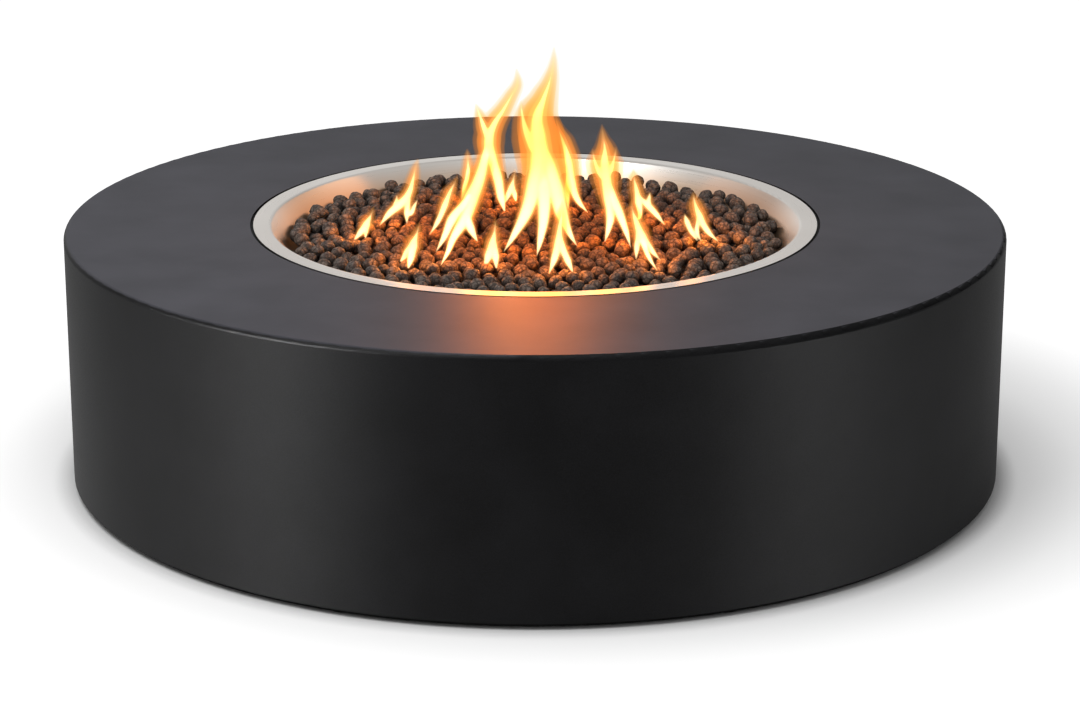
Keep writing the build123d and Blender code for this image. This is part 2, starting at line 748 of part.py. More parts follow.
def valve_plug():
    """Turning plug: a D socket for the stem and an angled gas passage."""
    front = VALVE_FRONT - SLIDE_CLEAR
    plug = disc(PLUG_D / 2, PLUG_BACK, front)
    plug -= d_bar(STEM_D + 2 * RUN_CLEAR, STEM_FLAT + RUN_CLEAR, SOCKET_END, front)
    plug -= disc(ROD_D / 2 + SLIDE_CLEAR, PLUG_BACK, front)
    passage = disc(PLUG_PASSAGE_D / 2, 0, PLUG_D)
    level = Pos(0, 0, PORT_DEPTH)
    plug -= level * Rot(0, -90, 0) * passage
    plug -= level * Rot(90, 0, 0) * passage
    return VALVE * plug


def valve_stem():
    return VALVE * d_bar(STEM_D, STEM_FLAT, STEM_INNER, STEM_OUTER)


def valve_push_rod():
    return VALVE * disc(ROD_D / 2, ROD_END, STEM_INNER)


def safety_magnet():
    """Cartridge behind the valve that the thermocouple's current holds open."""
    back = VALVE_BACK - MAGNET_L
    magnet = disc(MAGNET_D / 2, back, VALVE_BACK)
    magnet += disc(MAGNET_STUB_D / 2, back - MAGNET_STUB_L, back)
    magnet -= disc(MAGNET_ROOM_D / 2, MAGNET_ROOM_END, VALVE_BACK)
    return VALVE * magnet


def knob_bezel():
    bezel = VALVE * disc(BEZEL_D / 2, 0, BEZEL_FRONT)
    bezel -= inside(CONTROL_OUT_R)
    return bezel - VALVE * disc(NECK_D / 2 + HOLE_CLEAR, -NECK_D, NECK_D)


def neck_nut():
    nut = hexagon(NECK_NUT_AF, BEZEL_FRONT, BEZEL_FRONT + NECK_NUT_T)
    return VALVE * (nut - disc(NECK_D / 2 + TAP_CLEAR, 0, NECK_TOP))


def valve_knob():
    """Round skirt with a finger bar across it, pocketed behind to clear the nut."""
    front = KNOB_BACK + KNOB_H
    skirt = disc(KNOB_D / 2, KNOB_BACK, KNOB_BACK + KNOB_SKIRT_H)
    skirt = fillet(skirt.edges().group_by(Axis.Z)[-1], KNOB_EDGE)
    bar = extrude(Pos(0, 0, KNOB_BACK) * SlotOverall(KNOB_D - KNOB_BAR_W, KNOB_BAR_W, 90), amount=KNOB_H)
    bar = fillet(bar.edges().group_by(Axis.Z)[-1], KNOB_EDGE)
    knob = skirt + bar
    knob -= disc(KNOB_POCKET_R, KNOB_BACK, KNOB_POCKET_END)
    knob -= d_bar(STEM_D + 2 * TAP_CLEAR, STEM_FLAT + TAP_CLEAR, KNOB_BACK, STEM_OUTER)
    pointer = Pos(0, KNOB_D / 2 - KNOB_BAR_W, front) * Box(KNOB_EDGE, KNOB_BAR_W, KNOB_EDGE)
    return VALVE * (knob - pointer)


# Gas inlet, in the frame of its station: the outside of the wall is at z 0

def inlet_elbow():
    """Brass elbow through the wall: male thread outside, and a leg up inside below the valve."""
    out_end = INLET_HEX_T + INLET_THREAD_L
    corner = Pos(0, 0, PORT_DEPTH)
    collar = INLET * hexagon(INLET_HEX_AF, -INLET_HEX_T, INLET_HEX_T) - inside(DRUM_R)
    body = collar + INLET * corner * corner_pipe(INLET_D, out_end - PORT_DEPTH, INLET_RISE)
    return body - INLET * corner * corner_pipe(INLET_BORE, out_end - PORT_DEPTH, INLET_RISE)


def inlet_locknut():
    nut = INLET * hexagon(INLET_HEX_AF, -SHEET - INLET_NUT_T, 0) & inside(WALL_INNER_R)
    return nut - INLET * disc(INLET_D / 2 + TAP_CLEAR, -INLET_HEX_AF, INLET_HEX_AF)


def riser_spot():
    """Place of the riser pipe's lower end, on top of the inlet elbow."""
    return Pos(INLET.from_local_coords(Vector(0, INLET_RISE, PORT_DEPTH)))


RISER_L = CONTROL_Z - VALVE_W / 2 - PORT_BOSS_L - INLET_Z - INLET_RISE


def riser_pipe():
    return riser_spot() * ring(RISER_D / 2 - RISER_WALL, RISER_D / 2, 0, RISER_L)


def riser_nuts():
    bore = disc(RISER_D / 2 + TAP_CLEAR, 0, RISER_L)
    lower = hexagon(RISER_NUT_AF, 0, RISER_NUT_L) - bore
    upper = hexagon(RISER_NUT_AF, RISER_L - RISER_NUT_L, RISER_L) - bore
    return group([riser_spot() * lower, riser_spot() * upper])


# Igniter, in the frame of its station: the control plate's back is at z 0

IGNITER_FRONT = CONTROL_T + IGNITER_FLANGE_T
BUTTON_BACK = -BUTTON_SEAT
BATTERY_FRONT = BUTTON_BACK - BUTTON_TRAVEL - SPRING_SOLID_H
BATTERY_BACK = BATTERY_FRONT - BATTERY_L
IGNITER_BACK = BATTERY_BACK - IGNITER_END_T


def igniter_housing():
    """Battery tube with a flange on the control plate and a terminal at its inner end."""
    flange = IGNITER * disc(IGNITER_FLANGE_D / 2, 0, IGNITER_FRONT) - inside(CONTROL_OUT_R)
    barrel = disc(IGNITER_D / 2, IGNITER_BACK, IGNITER_FRONT)
    barrel += disc(TERMINAL_D / 2, IGNITER_BACK - TERMINAL_L, IGNITER_BACK)
    room = disc(BATTERY_D / 2 + HOLE_CLEAR, BATTERY_BACK, IGNITER_FRONT)
    room += disc(BUTTON_D / 2 + SLIDE_CLEAR, BATTERY_FRONT - BATTERY_NUB_L, IGNITER_FRONT)
    return flange + IGNITER * barrel - IGNITER * room


def igniter_nut():
    nut = IGNITER * hexagon(IGNITER_NUT_AF, -IGNITER_NUT_T, IGNITER_NUT_T) & inside(DRUM_R)
    return nut - IGNITER * disc(IGNITER_D / 2 + TAP_CLEAR, -IGNITER_D, IGNITER_D)


def igniter_battery():
    cell = disc(BATTERY_D / 2, BATTERY_BACK, BATTERY_FRONT - BATTERY_NUB_L)
    return IGNITER * (cell + disc(BATTERY_NUB_D / 2, BATTERY_BACK, BATTERY_FRONT))


def igniter_spring():
    """Coil between the battery and the button, as a plain sleeve of its outside size."""
    seat = BATTERY_FRONT - BATTERY_NUB_L
    return IGNITER * ring(SPRING_D / 2 - SPRING_WIRE, SPRING_D / 2, seat, BUTTON_BACK)


def igniter_button():
    button = disc(BUTTON_D / 2, BUTTON_BACK, IGNITER_FRONT + BUTTON_PROUD)
    return IGNITER * fillet(button.edges().group_by(Axis.Z)[-1], BUTTON_EDGE)


# Spark electrode and thermocouple

def spark_ceramic():
    ceramic = disc(CERAMIC_D / 2, PAN_UNDER - CERAMIC_DOWN, PAN_FLOOR + CERAMIC_UP)
    ceramic += disc(SENSOR_FLANGE_D / 2, PAN_FLOOR, PAN_FLOOR + SENSOR_FLANGE_T)
    ceramic -= disc(SPARK_ROD_D / 2 + TAP_CLEAR, 0, TOTAL_H)
    return sensor_spot(SPARK_ANGLE) * ceramic


SPARK_ROD_END = PAN_UNDER - CERAMIC_DOWN - SPARK_ROD_DOWN
PROBE_END = PAN_UNDER - PROBE_DOWN


def spark_rod():
    rod = disc(SPARK_ROD_D / 2, SPARK_ROD_END, PAN_FLOOR + CERAMIC_UP + SPARK_ROD_UP)
    return sensor_spot(SPARK_ANGLE) * rod


def thermocouple():
    probe = disc(PROBE_D / 2, PROBE_END, PAN_FLOOR + PROBE_UP)
    probe += disc(SENSOR_FLANGE_D / 2, PAN_FLOOR, PAN_FLOOR + SENSOR_FLANGE_T)
    return sensor_spot(PROBE_ANGLE) * probe


def sensor_nuts():
    blank = hexagon(SENSOR_NUT_AF, PAN_UNDER - SENSOR_NUT_T, PAN_UNDER)
    spark_nut = blank - disc(CERAMIC_D / 2 + TAP_CLEAR, 0, TOTAL_H)
    probe_nut = blank - disc(PROBE_D / 2 + TAP_CLEAR, 0, TOTAL_H)
    return group([sensor_spot(SPARK_ANGLE) * spark_nut, sensor_spot(PROBE_ANGLE) * probe_nut])


def lead(angle, top_z, frame, back_z, diameter):
    """Lead from under the pan to the back of a control, hanging a little between them."""
    top = outward(angle) * SENSOR_R + Vector(0, 0, top_z)
    below = top - Vector(0, 0, LEAD_DROP)
    end = frame.from_local_coords(Vector(0, 0, back_z))
    before = frame.from_local_coords(Vector(0, 0, back_z - LEAD_TAIL))
    middle = (below + before) * 0.5 - Vector(0, 0, LEAD_SAG)
    return tube((top, below, middle, before, end), LEAD_RADII, diameter, 0)


def ignition_lead():
    return lead(SPARK_ANGLE, SPARK_ROD_END, IGNITER, IGNITER_BACK - TERMINAL_L, IGNITION_LEAD_D)


def thermocouple_lead():
    stub_end = VALVE_BACK - MAGNET_L - MAGNET_STUB_L
    return lead(PROBE_ANGLE, PROBE_END, VALVE, stub_end, SENSOR_LEAD_D)


# Access door, with its hinges on the +X side and its latch on the -X side

HINGE_ANGLE = -wall_angle((DOOR_W - DOOR_SEAM) / 2)
LATCH = station(wall_angle(DOOR_W / 2 - LATCH_INSET), WALL_MID)
HINGES = [station(HINGE_ANGLE, WALL_MID + side * HINGE_SPREAD / 2) for side in (-1, 1)]
PIN_LIFT = KNUCKLE_D / 2 + KNUCKLE_LIFT
HINGE_H = 3 * KNUCKLE_L
LEAF_START = KNUCKLE_D / 2 + END_CLEAR


def access_door():
    """Curved panel flush with the wall, a little thinner so that it closes on its frame."""
    panel = rear_prism(DOOR_W - 2 * DOOR_SEAM, DOOR_H - 2 * DOOR_SEAM, DOOR_CORNER - DOOR_SEAM)
    door = shell(WALL_INNER_R + SIDE_CLEAR, DRUM_R) & panel
    return door - LATCH * disc(BUSH_D / 2 + HOLE_CLEAR, -BUSH_D, BUSH_D)


def door_frame():
    """Stop behind the opening, welded to the back of the wall."""
    outer = rear_prism(DOOR_W + 2 * FRAME_LAP, DOOR_H + 2 * FRAME_LAP, DOOR_CORNER + FRAME_LAP)
    inner = rear_prism(DOOR_W - 2 * FRAME_STOP, DOOR_H - 2 * FRAME_STOP, DOOR_CORNER)
    return shell(WALL_INNER_R - FRAME_T, WALL_INNER_R) & outer - inner


def slab(x_low, x_high, y_low, y_high):
    """Deep box over a patch of the wall, in the frame of a station."""
    middle = Pos((x_low + x_high) / 2, (y_low + y_high) / 2, 0)
    return middle * Box(x_high - x_low, y_high - y_low, 4 * KNUCKLE_D)


def pin_bar(diameter, y_low, y_high):
    """Upright bar on the hinge's axis, in the frame of its station."""
    return Pos(0, y_low, PIN_LIFT) * Rot(-90, 0, 0) * disc(diameter / 2, 0, y_high - y_low)


def hinge_leaf(frame, side, knuckles):
    """Curved leaf on the wall or the door, with its knuckles round the pin."""
    far = side * (LEAF_START + LEAF_W)
    near = side * LEAF_START
    sheet = shell(DRUM_R, LEAF_OUT_R)
    leaf = sheet & frame * slab(min(near, far), max(near, far), -HINGE_H / 2, HINGE_H / 2)
    for y_low, y_high in knuckles:
        bridge = side * (LEAF_START + LEAF_T)
        leaf += sheet & frame * slab(min(0, bridge), max(0, bridge), y_low, y_high)
        leaf += frame * pin_bar(KNUCKLE_D, y_low, y_high)
    return leaf - frame * pin_bar(HINGE_PIN_D + 2 * RUN_CLEAR, -HINGE_H, HINGE_H)


def hinge_wall_leaves():
    outer = (KNUCKLE_L / 2 + SIDE_CLEAR, HINGE_H / 2)
    knuckles = (outer, (-outer[1], -outer[0]))
    return group([hinge_leaf(frame, -1, knuckles) for frame in HINGES])


def hinge_door_leaves():
    knuckles = ((-KNUCKLE_L / 2, KNUCKLE_L / 2),)
    return group([hinge_leaf(frame, 1, knuckles) for frame in HINGES])


def hinge_pins():
    """Pins with a flat head at each end, resting on the outer knuckles."""
    end = HINGE_H / 2
    pin = pin_bar(HINGE_PIN_D, -end - PIN_HEAD_T, end + PIN_HEAD_T)
    pin += pin_bar(PIN_HEAD_D, end, end + PIN_HEAD_T)
    pin += pin_bar(PIN_HEAD_D, -end - PIN_HEAD_T, -end)
    return group([frame * pin for frame in HINGES])


FRAME_BACK_R = WALL_INNER_R - FRAME_T
CAM_REACH = math.hypot(CAM_L, CAM_W / 2)
CAM_TOP = math.sqrt(FRAME_BACK_R ** 2 - CAM_REACH ** 2) - DRUM_R - CAM_CLEAR
LATCH_BACK = BUSH_FLANGE_T + SIDE_CLEAR


def latch_bush():
    flange = LATCH * disc(BUSH_FLANGE_D / 2, -BUSH_FLANGE_T, BUSH_FLANGE_T) - inside(DRUM_R)
    bush = flange + LATCH * disc(BUSH_D / 2, CAM_TOP + SIDE_CLEAR, BUSH_FLANGE_T)
    return bush - LATCH * disc(LATCH_SHAFT_D / 2 + RUN_CLEAR, -BUSH_D, BUSH_D)


def latch_knob():
    """Disc with a finger bar, and a shaft with a flat at its end for the cam."""
    knob = disc(LATCH_D / 2, LATCH_BACK, LATCH_BACK + LATCH_DISC_T)
    bar = SlotOverall(LATCH_D - LATCH_BAR_W, LATCH_BAR_W, 90)
    knob += extrude(Pos(0, 0, LATCH_BACK) * bar, amount=LATCH_DISC_T + LATCH_BAR_H)
    knob += disc(LATCH_SHAFT_D / 2, CAM_TOP, LATCH_BACK + LATCH_DISC_T)
    knob += d_bar(LATCH_SHAFT_D, LATCH_FLAT, CAM_TOP - CAM_T, LATCH_BACK)
    knob -= disc(CAM_SCREW_D / 2 + TAP_CLEAR, CAM_TOP - CAM_T, CAM_TOP - CAM_T + CAM_SCREW_L)
    return LATCH * knob


def latch_cam():
    """Bar that hangs down when released and turns in behind the frame."""
    back = CAM_TOP - CAM_T
    bar = Pos(0, (CAM_W / 2 - CAM_L) / 2, back) * SlotOverall(CAM_L + CAM_W / 2, CAM_W, 90)
    hole = d_bar(LATCH_SHAFT_D + 2 * TAP_CLEAR, LATCH_FLAT + TAP_CLEAR, back, CAM_TOP)
    return LATCH * (extrude(bar, amount=CAM_T) - hole)


def latch_screw():
    seat = CAM_TOP - CAM_T
    screw = disc(CAM_SCREW_HEAD_D / 2, seat - CAM_SCREW_HEAD_H, seat)
    screw += disc(CAM_SCREW_D / 2, seat - CAM_SCREW_HEAD_H, seat + CAM_SCREW_L - TAP_CLEAR)
    return LATCH * screw


PIECES = (
    drum_wall,
    foot_ring,
    deck_plate,
    plinth_ring,
    ground_pads,
    plinth_bolts,
    deck_ribs,
    pan_ledge_ring,
    pan_gasket,
    burner_pan,
    lava_stones,
    burner_outer_ring,
    burner_inner_ring,
    burner_hub,
    burner_spokes,
    burner_feet,
    gas_pipe,
    pipe_locknuts,
    air_mixer,
    mixer_elbow,
    burner_hose,
    hose_nuts,
    control_plate,
    control_screws,
    valve_body,
    valve_bonnet,
    valve_plug,
    valve_stem,
    valve_push_rod,
    safety_magnet,
    knob_bezel,
    neck_nut,
    valve_knob,
    inlet_elbow,
    inlet_locknut,
    riser_pipe,
    riser_nuts,
    igniter_housing,
    igniter_nut,
    igniter_battery,
    igniter_spring,
    igniter_button,
    spark_ceramic,
    spark_rod,
    thermocouple,
    sensor_nuts,
    ignition_lead,
    thermocouple_lead,
    access_door,
    door_frame,
    hinge_wall_leaves,
    hinge_door_leaves,
    hinge_pins,
    latch_bush,
    latch_knob,
    latch_cam,
    latch_screw,
)

os.makedirs("parts", exist_ok=True)
for piece in PIECES:
    solid = piece()
    export_step(solid, f"parts/{piece.__name__}.step")
    print(piece.__name__, round(solid.volume / 1000, 2), "cm3")
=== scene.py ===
# %% [markdown]
# This lesson dresses a round gas fire pit: a low drum of powder-coated sheet steel, a flat deck, and a
# stainless pan full of lava stones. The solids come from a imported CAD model, which stays as it is.
# Everything here is in metres in that model's own frame: the floor is z = 0, the drum's axis is z, and
# the plain side faces -Y. Loading the model first means that each piece can be measured, not guessed.

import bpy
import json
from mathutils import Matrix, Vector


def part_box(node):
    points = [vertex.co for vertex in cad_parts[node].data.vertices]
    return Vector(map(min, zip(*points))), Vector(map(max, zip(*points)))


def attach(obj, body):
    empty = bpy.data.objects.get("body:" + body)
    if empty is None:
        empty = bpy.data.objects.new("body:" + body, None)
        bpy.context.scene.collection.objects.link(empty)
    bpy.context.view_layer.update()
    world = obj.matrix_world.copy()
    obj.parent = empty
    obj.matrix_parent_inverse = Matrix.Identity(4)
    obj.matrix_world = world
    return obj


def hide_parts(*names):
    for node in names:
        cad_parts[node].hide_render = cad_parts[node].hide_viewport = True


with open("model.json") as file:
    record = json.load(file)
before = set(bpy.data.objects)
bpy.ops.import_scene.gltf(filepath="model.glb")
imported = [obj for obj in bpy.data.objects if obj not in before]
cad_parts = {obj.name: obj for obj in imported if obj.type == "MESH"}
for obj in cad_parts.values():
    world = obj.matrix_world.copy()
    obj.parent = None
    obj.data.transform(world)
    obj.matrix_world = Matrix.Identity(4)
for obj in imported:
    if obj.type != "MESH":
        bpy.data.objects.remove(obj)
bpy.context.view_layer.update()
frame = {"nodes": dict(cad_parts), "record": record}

# %% [markdown]
# Materials are node trees. One helper adds a node, sets its properties and fills its inputs, so a finish
# reads as a list of what feeds what. Colours are written as sRGB hex, as a paint chart or a colour picker
# gives them, and Blender shades in linear light, so one function converts them. Pattern sizes are real
# millimetres: a noise texture's scale is how many features fit in a metre. An input is given by its name, or
# by its number where names repeat: 1 to 4 of a Map Range are the range it reads and the range it gives, and
# of a Mix, 2 and 3 are its two numbers, and 6 and 7 its two colours.

# %% Helpers for colours, nodes and pattern sizes
import json
import math
import random

import bmesh
import bpy
import numpy as np
from mathutils import Matrix, Vector, noise

MM = 0.001


def linear(code):
    """Linear red, green, blue and alpha of an sRGB hex colour."""
    values = [int(code[i:i + 2], 16) / 255 for i in (1, 3, 5)]
    return [v / 12.92 if v <= 0.04045 else ((v + 0.055) / 1.055) ** 2.4 for v in values] + [1.0]


def per_metre(size_mm):
    """Texture scale that makes one feature this many millimetres wide."""
    return 1000 / size_mm


def add(tree, kind, inputs=None, ramp=(), **settings):
    """One node; inputs are values or other nodes' outputs, and ramp is (place, hex or grey) stops."""
    made = tree.nodes.new("ShaderNode" + kind)
    for name, value in settings.items():
        setattr(made, name, value)
    for index, (place, colour) in enumerate(ramp):
        stops = made.color_ramp.elements
        stop = stops[index] if index < len(stops) else stops.new(place)
        stop.position = place
        stop.color = linear(colour) if isinstance(colour, str) else (colour, colour, colour, 1)
    for key, value in (inputs or {}).items():
        if isinstance(value, bpy.types.NodeSocket):
            tree.links.new(value, made.inputs[key])
        else:
            made.inputs[key].default_value = value
    return made


def start_finish(name, uniform):
    """A new material, with the values that are the same all over it set on its shader."""
    made = bpy.data.materials.new(name)
    made.use_nodes = True
    shader = made.node_tree.nodes["Principled BSDF"]
    for key, value in uniform.items():
        shader.inputs[key].default_value = value
    place = add(made.node_tree, "TexCoord").outputs["Object"]
    return made, made.node_tree, shader, place


# the finish of each material slot, or of a node that has its own
FINISHES = {}

# %% [markdown]
# The drum, deck and door are mild steel with a satin black powder coat. The powder melts and flows in the
# oven, which leaves a slight orange-peel ripple and a fine speckle. Black paint shows almost nothing but
# its gloss, so the ripple and the changes in roughness do the work. On top of the deck the same coat is
# painted lighter, to charcoal, and made rougher: this is painted light, for the light that falls on the
# faces that look up, and the coat is black again round the edge. The direction that a point of the
# surface faces tells the top from the edge.

# %% Satin black powder coat
SPECKLE_MM = 1.6
PEEL_MM = 3.5
PEEL_DEPTH_MM = 0.3
CLOUD_MM = 90
COAT_SHINE = 0.13
TOP_SHINE = 0.065
COAT_ROUGH = (0.42, 0.50)
TOP_ROUGHER = 0.06
EDGE_FACING = 0.80
TOP_FACING = 0.99
# slot or node: name, and how much painted light lies on faces that look up
COATS = {"black_coat": ("satin_black_powder_coat", 0.0), "deck_plate": ("powder_coat_painted_light_top", 1.0)}

for key, (name, lit_top_share) in COATS.items():
    coat, tree, shader, place = start_finish(name, {"IOR": 1.5})
    speckle = add(tree, "TexNoise", {"Vector": place, "Scale": per_metre(SPECKLE_MM), "Detail": 2.0})
    cloud = add(tree, "TexNoise", {"Vector": place, "Scale": per_metre(CLOUD_MM), "Detail": 3.0})
    mottle = add(tree, "Mix", {"Factor": 0.5, 2: speckle.outputs["Fac"], 3: cloud.outputs["Fac"]}).outputs[0]
    black = add(tree, "ValToRGB", {"Fac": mottle}, ramp=((0.35, "#0e0e0f"), (0.65, "#1a1a1c")))
    # painted light: the lighter charcoal tone on faces that look up stands for light falling on the deck
    lit_top_tone = add(tree, "ValToRGB", {"Fac": mottle}, ramp=((0.35, "#414147"), (0.65, "#4e4e55")))
    facing = add(tree, "SeparateXYZ", {"Vector": add(tree, "NewGeometry").outputs["Normal"]}).outputs["Z"]
    lit_top_mask = add(tree, "MapRange", {"Value": facing, 1: EDGE_FACING, 2: TOP_FACING, 3: 0.0, 4: lit_top_share}).outputs[0]
    tone = add(tree, "Mix", {"Factor": lit_top_mask, 6: black.outputs["Color"], 7: lit_top_tone.outputs["Color"]},
               data_type="RGBA")
    shine = add(tree, "MapRange", {"Value": lit_top_mask, 3: COAT_SHINE, 4: TOP_SHINE})
    grain = add(tree, "MapRange",
                {"Value": speckle.outputs["Fac"], 1: 0.3, 2: 0.7, 3: COAT_ROUGH[0], 4: COAT_ROUGH[1]})
    gloss = add(tree, "Math", {0: lit_top_mask, 1: TOP_ROUGHER, 2: grain.outputs["Result"]}, operation="MULTIPLY_ADD")
    peel = add(tree, "TexNoise", {"Vector": place, "Scale": per_metre(PEEL_MM), "Detail": 1.0})
    ripple = add(tree, "Bump",
                 {"Height": peel.outputs["Fac"], "Strength": 0.10, "Distance": PEEL_DEPTH_MM * MM})
    tree.links.new(tone.outputs[2], shader.inputs["Base Color"])
    tree.links.new(shine.outputs["Result"], shader.inputs["Specular IOR Level"])
    tree.links.new(gloss.outputs[0], shader.inputs["Roughness"])
    tree.links.new(ripple.outputs["Normal"], shader.inputs["Normal"])
    FINISHES[key] = coat
print("made", len(COATS), "powder coats")

# %% [markdown]
# Inside, where nobody looks, the ribs, the ledge ring and the plinth have only a thin matt primer. It is
# rougher and a little dusty, and its tone is painted near black, darker than primer, as painted shade,
# so that the gap under the drum reads as a shadow.

# %% Matt black primer, painted dark as shade
DUST_MM = 14

primer_painted_shade, tree, shader, place = start_finish("matt_black_primer_painted_shade", {"IOR": 1.5, "Specular IOR Level": 0.2})
dust = add(tree, "TexNoise", {"Vector": place, "Scale": per_metre(DUST_MM), "Detail": 6.0, "Roughness": 0.7})
# painted shade: the tone is darker than real primer, so the gap under the drum reads as shadow
tone = add(tree, "ValToRGB", {"Fac": dust.outputs["Fac"]}, ramp=((0.35, "#050505"), (0.75, "#101010")))
dull = add(tree, "MapRange", {"Value": dust.outputs["Fac"], 3: 0.62, 4: 0.82})
tree.links.new(tone.outputs["Color"], shader.inputs["Base Color"])
tree.links.new(dull.outputs["Result"], shader.inputs["Roughness"])
FINISHES["inner_black"] = primer_painted_shade
print("made", primer_painted_shade.name)

# %% [markdown]
# The pan was spun and then brushed on a turntable, so its scratches run round the axis. A texture that
# only changes with the distance from the axis and the height draws such rings. Noise in four dimensions
# takes radius, height and the direction round the axis, so the scratches fade in and out with no seam.
# Flames have warmed the sloping wall to a straw colour, more so lower down; the flange stays clear.

# %% Brushed stainless, turned
SCRATCH_MM = 0.9
SCRATCH_FADE = 2.5
STAIN_MM = 120
PAN_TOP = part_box("burner_pan")[1][2]
STRAW_STARTS = PAN_TOP - 3 * MM
STRAW_FULL = PAN_TOP - 24 * MM
STRAW_SHARE = 0.75

turned, tree, shader, place = start_finish(
    "turned_brushed_stainless", {"Metallic": 1.0, "Anisotropic": 0.55})
parts = add(tree, "SeparateXYZ", {"Vector": place})
flat = add(tree, "CombineXYZ", {"X": parts.outputs["X"], "Y": parts.outputs["Y"]})
reach = add(tree, "VectorMath", {0: flat.outputs[0]}, operation="LENGTH")
heading = add(tree, "VectorMath", {0: flat.outputs[0]}, operation="NORMALIZE")
turn = add(tree, "SeparateXYZ", {"Vector": heading.outputs[0]})
scale = per_metre(SCRATCH_MM)
rings = add(tree, "CombineXYZ", {
    "X": add(tree, "Math", {0: reach.outputs["Value"], 1: scale}, operation="MULTIPLY").outputs[0],
    "Y": add(tree, "Math", {0: parts.outputs["Z"], 1: scale}, operation="MULTIPLY").outputs[0],
    "Z": add(tree, "Math", {0: turn.outputs["X"], 1: SCRATCH_FADE}, operation="MULTIPLY").outputs[0]})
fade = add(tree, "Math", {0: turn.outputs["Y"], 1: SCRATCH_FADE}, operation="MULTIPLY")
scratch = add(tree, "TexNoise",
              {"Vector": rings.outputs[0], "W": fade.outputs[0], "Scale": 1.0, "Detail": 3.0},
              noise_dimensions="4D")
stain = add(tree, "TexNoise", {"Vector": place, "Scale": per_metre(STAIN_MM), "Detail": 2.0})
blend = add(tree, "Mix", {"Factor": 0.25, 2: stain.outputs["Fac"], 3: scratch.outputs["Fac"]})
tone = add(tree, "ValToRGB", {"Fac": blend.outputs[0]}, ramp=((0.3, "#d8d2cb"), (0.7, "#e4dfd9")))
heat_tint_and_firelight_paint = add(tree, "MapRange",
           {"Value": parts.outputs["Z"], 1: STRAW_STARTS, 2: STRAW_FULL, 3: 0.0, 4: STRAW_SHARE})
tint = add(tree, "Mix", {"Factor": heat_tint_and_firelight_paint.outputs["Result"], 6: tone.outputs["Color"], 7: linear("#cda278")},
           data_type="RGBA")
gloss = add(tree, "MapRange", {"Value": scratch.outputs["Fac"], 1: 0.3, 2: 0.7, 3: 0.27, 4: 0.32})
groove = add(tree, "Bump", {"Height": scratch.outputs["Fac"], "Strength": 0.01, "Distance": 0.1 * MM})
round_axis = add(tree, "Tangent", direction_type="RADIAL", axis="Z")
tree.links.new(tint.outputs[2], shader.inputs["Base Color"])
tree.links.new(gloss.outputs["Result"], shader.inputs["Roughness"])
tree.links.new(groove.outputs["Normal"], shader.inputs["Normal"])
tree.links.new(round_axis.outputs["Tangent"], shader.inputs["Tangent"])
FINISHES["burner_pan"] = turned
print("made", turned.name)

# %% [markdown]
# The control plate and its screws are the same steel, brushed along the sheet: level scratches that are
# far longer than they are wide. Stretching the noise along the level directions draws them.

# %% Brushed stainless sheet
GRAIN_MM = (40, 40, 0.8)

sheet, tree, shader, place = start_finish("brushed_stainless_sheet", {"Metallic": 1.0})
stretch = add(tree, "VectorMath", {0: place, 1: [per_metre(size) for size in GRAIN_MM]},
              operation="MULTIPLY")
grain = add(tree, "TexNoise", {"Vector": stretch.outputs[0], "Scale": 1.0, "Detail": 3.0})
tone = add(tree, "ValToRGB", {"Fac": grain.outputs["Fac"]}, ramp=((0.3, "#aaa7a2"), (0.7, "#cfccc6")))
gloss = add(tree, "MapRange", {"Value": grain.outputs["Fac"], 1: 0.3, 2: 0.7, 3: 0.28, 4: 0.42})
groove = add(tree, "Bump", {"Height": grain.outputs["Fac"], "Strength": 0.12, "Distance": 0.1 * MM})
tree.links.new(tone.outputs["Color"], shader.inputs["Base Color"])
tree.links.new(gloss.outputs["Result"], shader.inputs["Roughness"])
tree.links.new(groove.outputs["Normal"], shader.inputs["Normal"])
FINISHES["stainless"] = sheet
print("made", sheet.name)

# %% [markdown]
# The gas hose under the pan has a woven jacket of stainless wire. Two sets of bands that cross on the
# diagonal stand for the braid. They are drawn far coarser than the real wire of 0.3 mm, so that they show.
# A wave texture draws ten radians of its wave per unit of x + y + z, which its scale has to make up for.

# %% Braided stainless hose
BAND_MM = 21.8
WAVE_RADIANS = 10 * math.sqrt(3)

braid, tree, shader, place = start_finish("braided_stainless_wire", {"Metallic": 1.0})
band_scale = per_metre(BAND_MM) * math.tau / WAVE_RADIANS
left = add(tree, "TexWave", {"Vector": place, "Scale": band_scale}, bands_direction="DIAGONAL")
mirror = add(tree, "VectorMath", {0: place, 1: (-1, 1, 1)}, operation="MULTIPLY")
right = add(tree, "TexWave", {"Vector": mirror.outputs[0], "Scale": band_scale}, bands_direction="DIAGONAL")
woven = add(tree, "Math", {0: left.outputs["Fac"], 1: right.outputs["Fac"]}, operation="MULTIPLY")
tone = add(tree, "ValToRGB", {"Fac": woven.outputs[0]}, ramp=((0.1, "#5d5c5a"), (0.7, "#bdbbb7")))
lift = add(tree, "Bump", {"Height": woven.outputs[0], "Strength": 0.5, "Distance": 0.4 * MM})
gloss = add(tree, "MapRange", {"Value": woven.outputs[0], 3: 0.5, 4: 0.3})
tree.links.new(tone.outputs["Color"], shader.inputs["Base Color"])
tree.links.new(gloss.outputs["Result"], shader.inputs["Roughness"])
tree.links.new(lift.outputs["Normal"], shader.inputs["Normal"])
FINISHES["burner_hose"] = braid
print("made", braid.name)

# %% [markdown]
# Small metal and plastic parts differ mainly in colour, gloss and grit, so a table of their real
# materials drives one short recipe: a fine grit noise sets the colour, the roughness and a slight bump.
# Metals keep the default IOR, and the other materials have their own. The colours are those of clean,
# lightly used parts: brass is dulled by handling, and the burner is browned by heat.

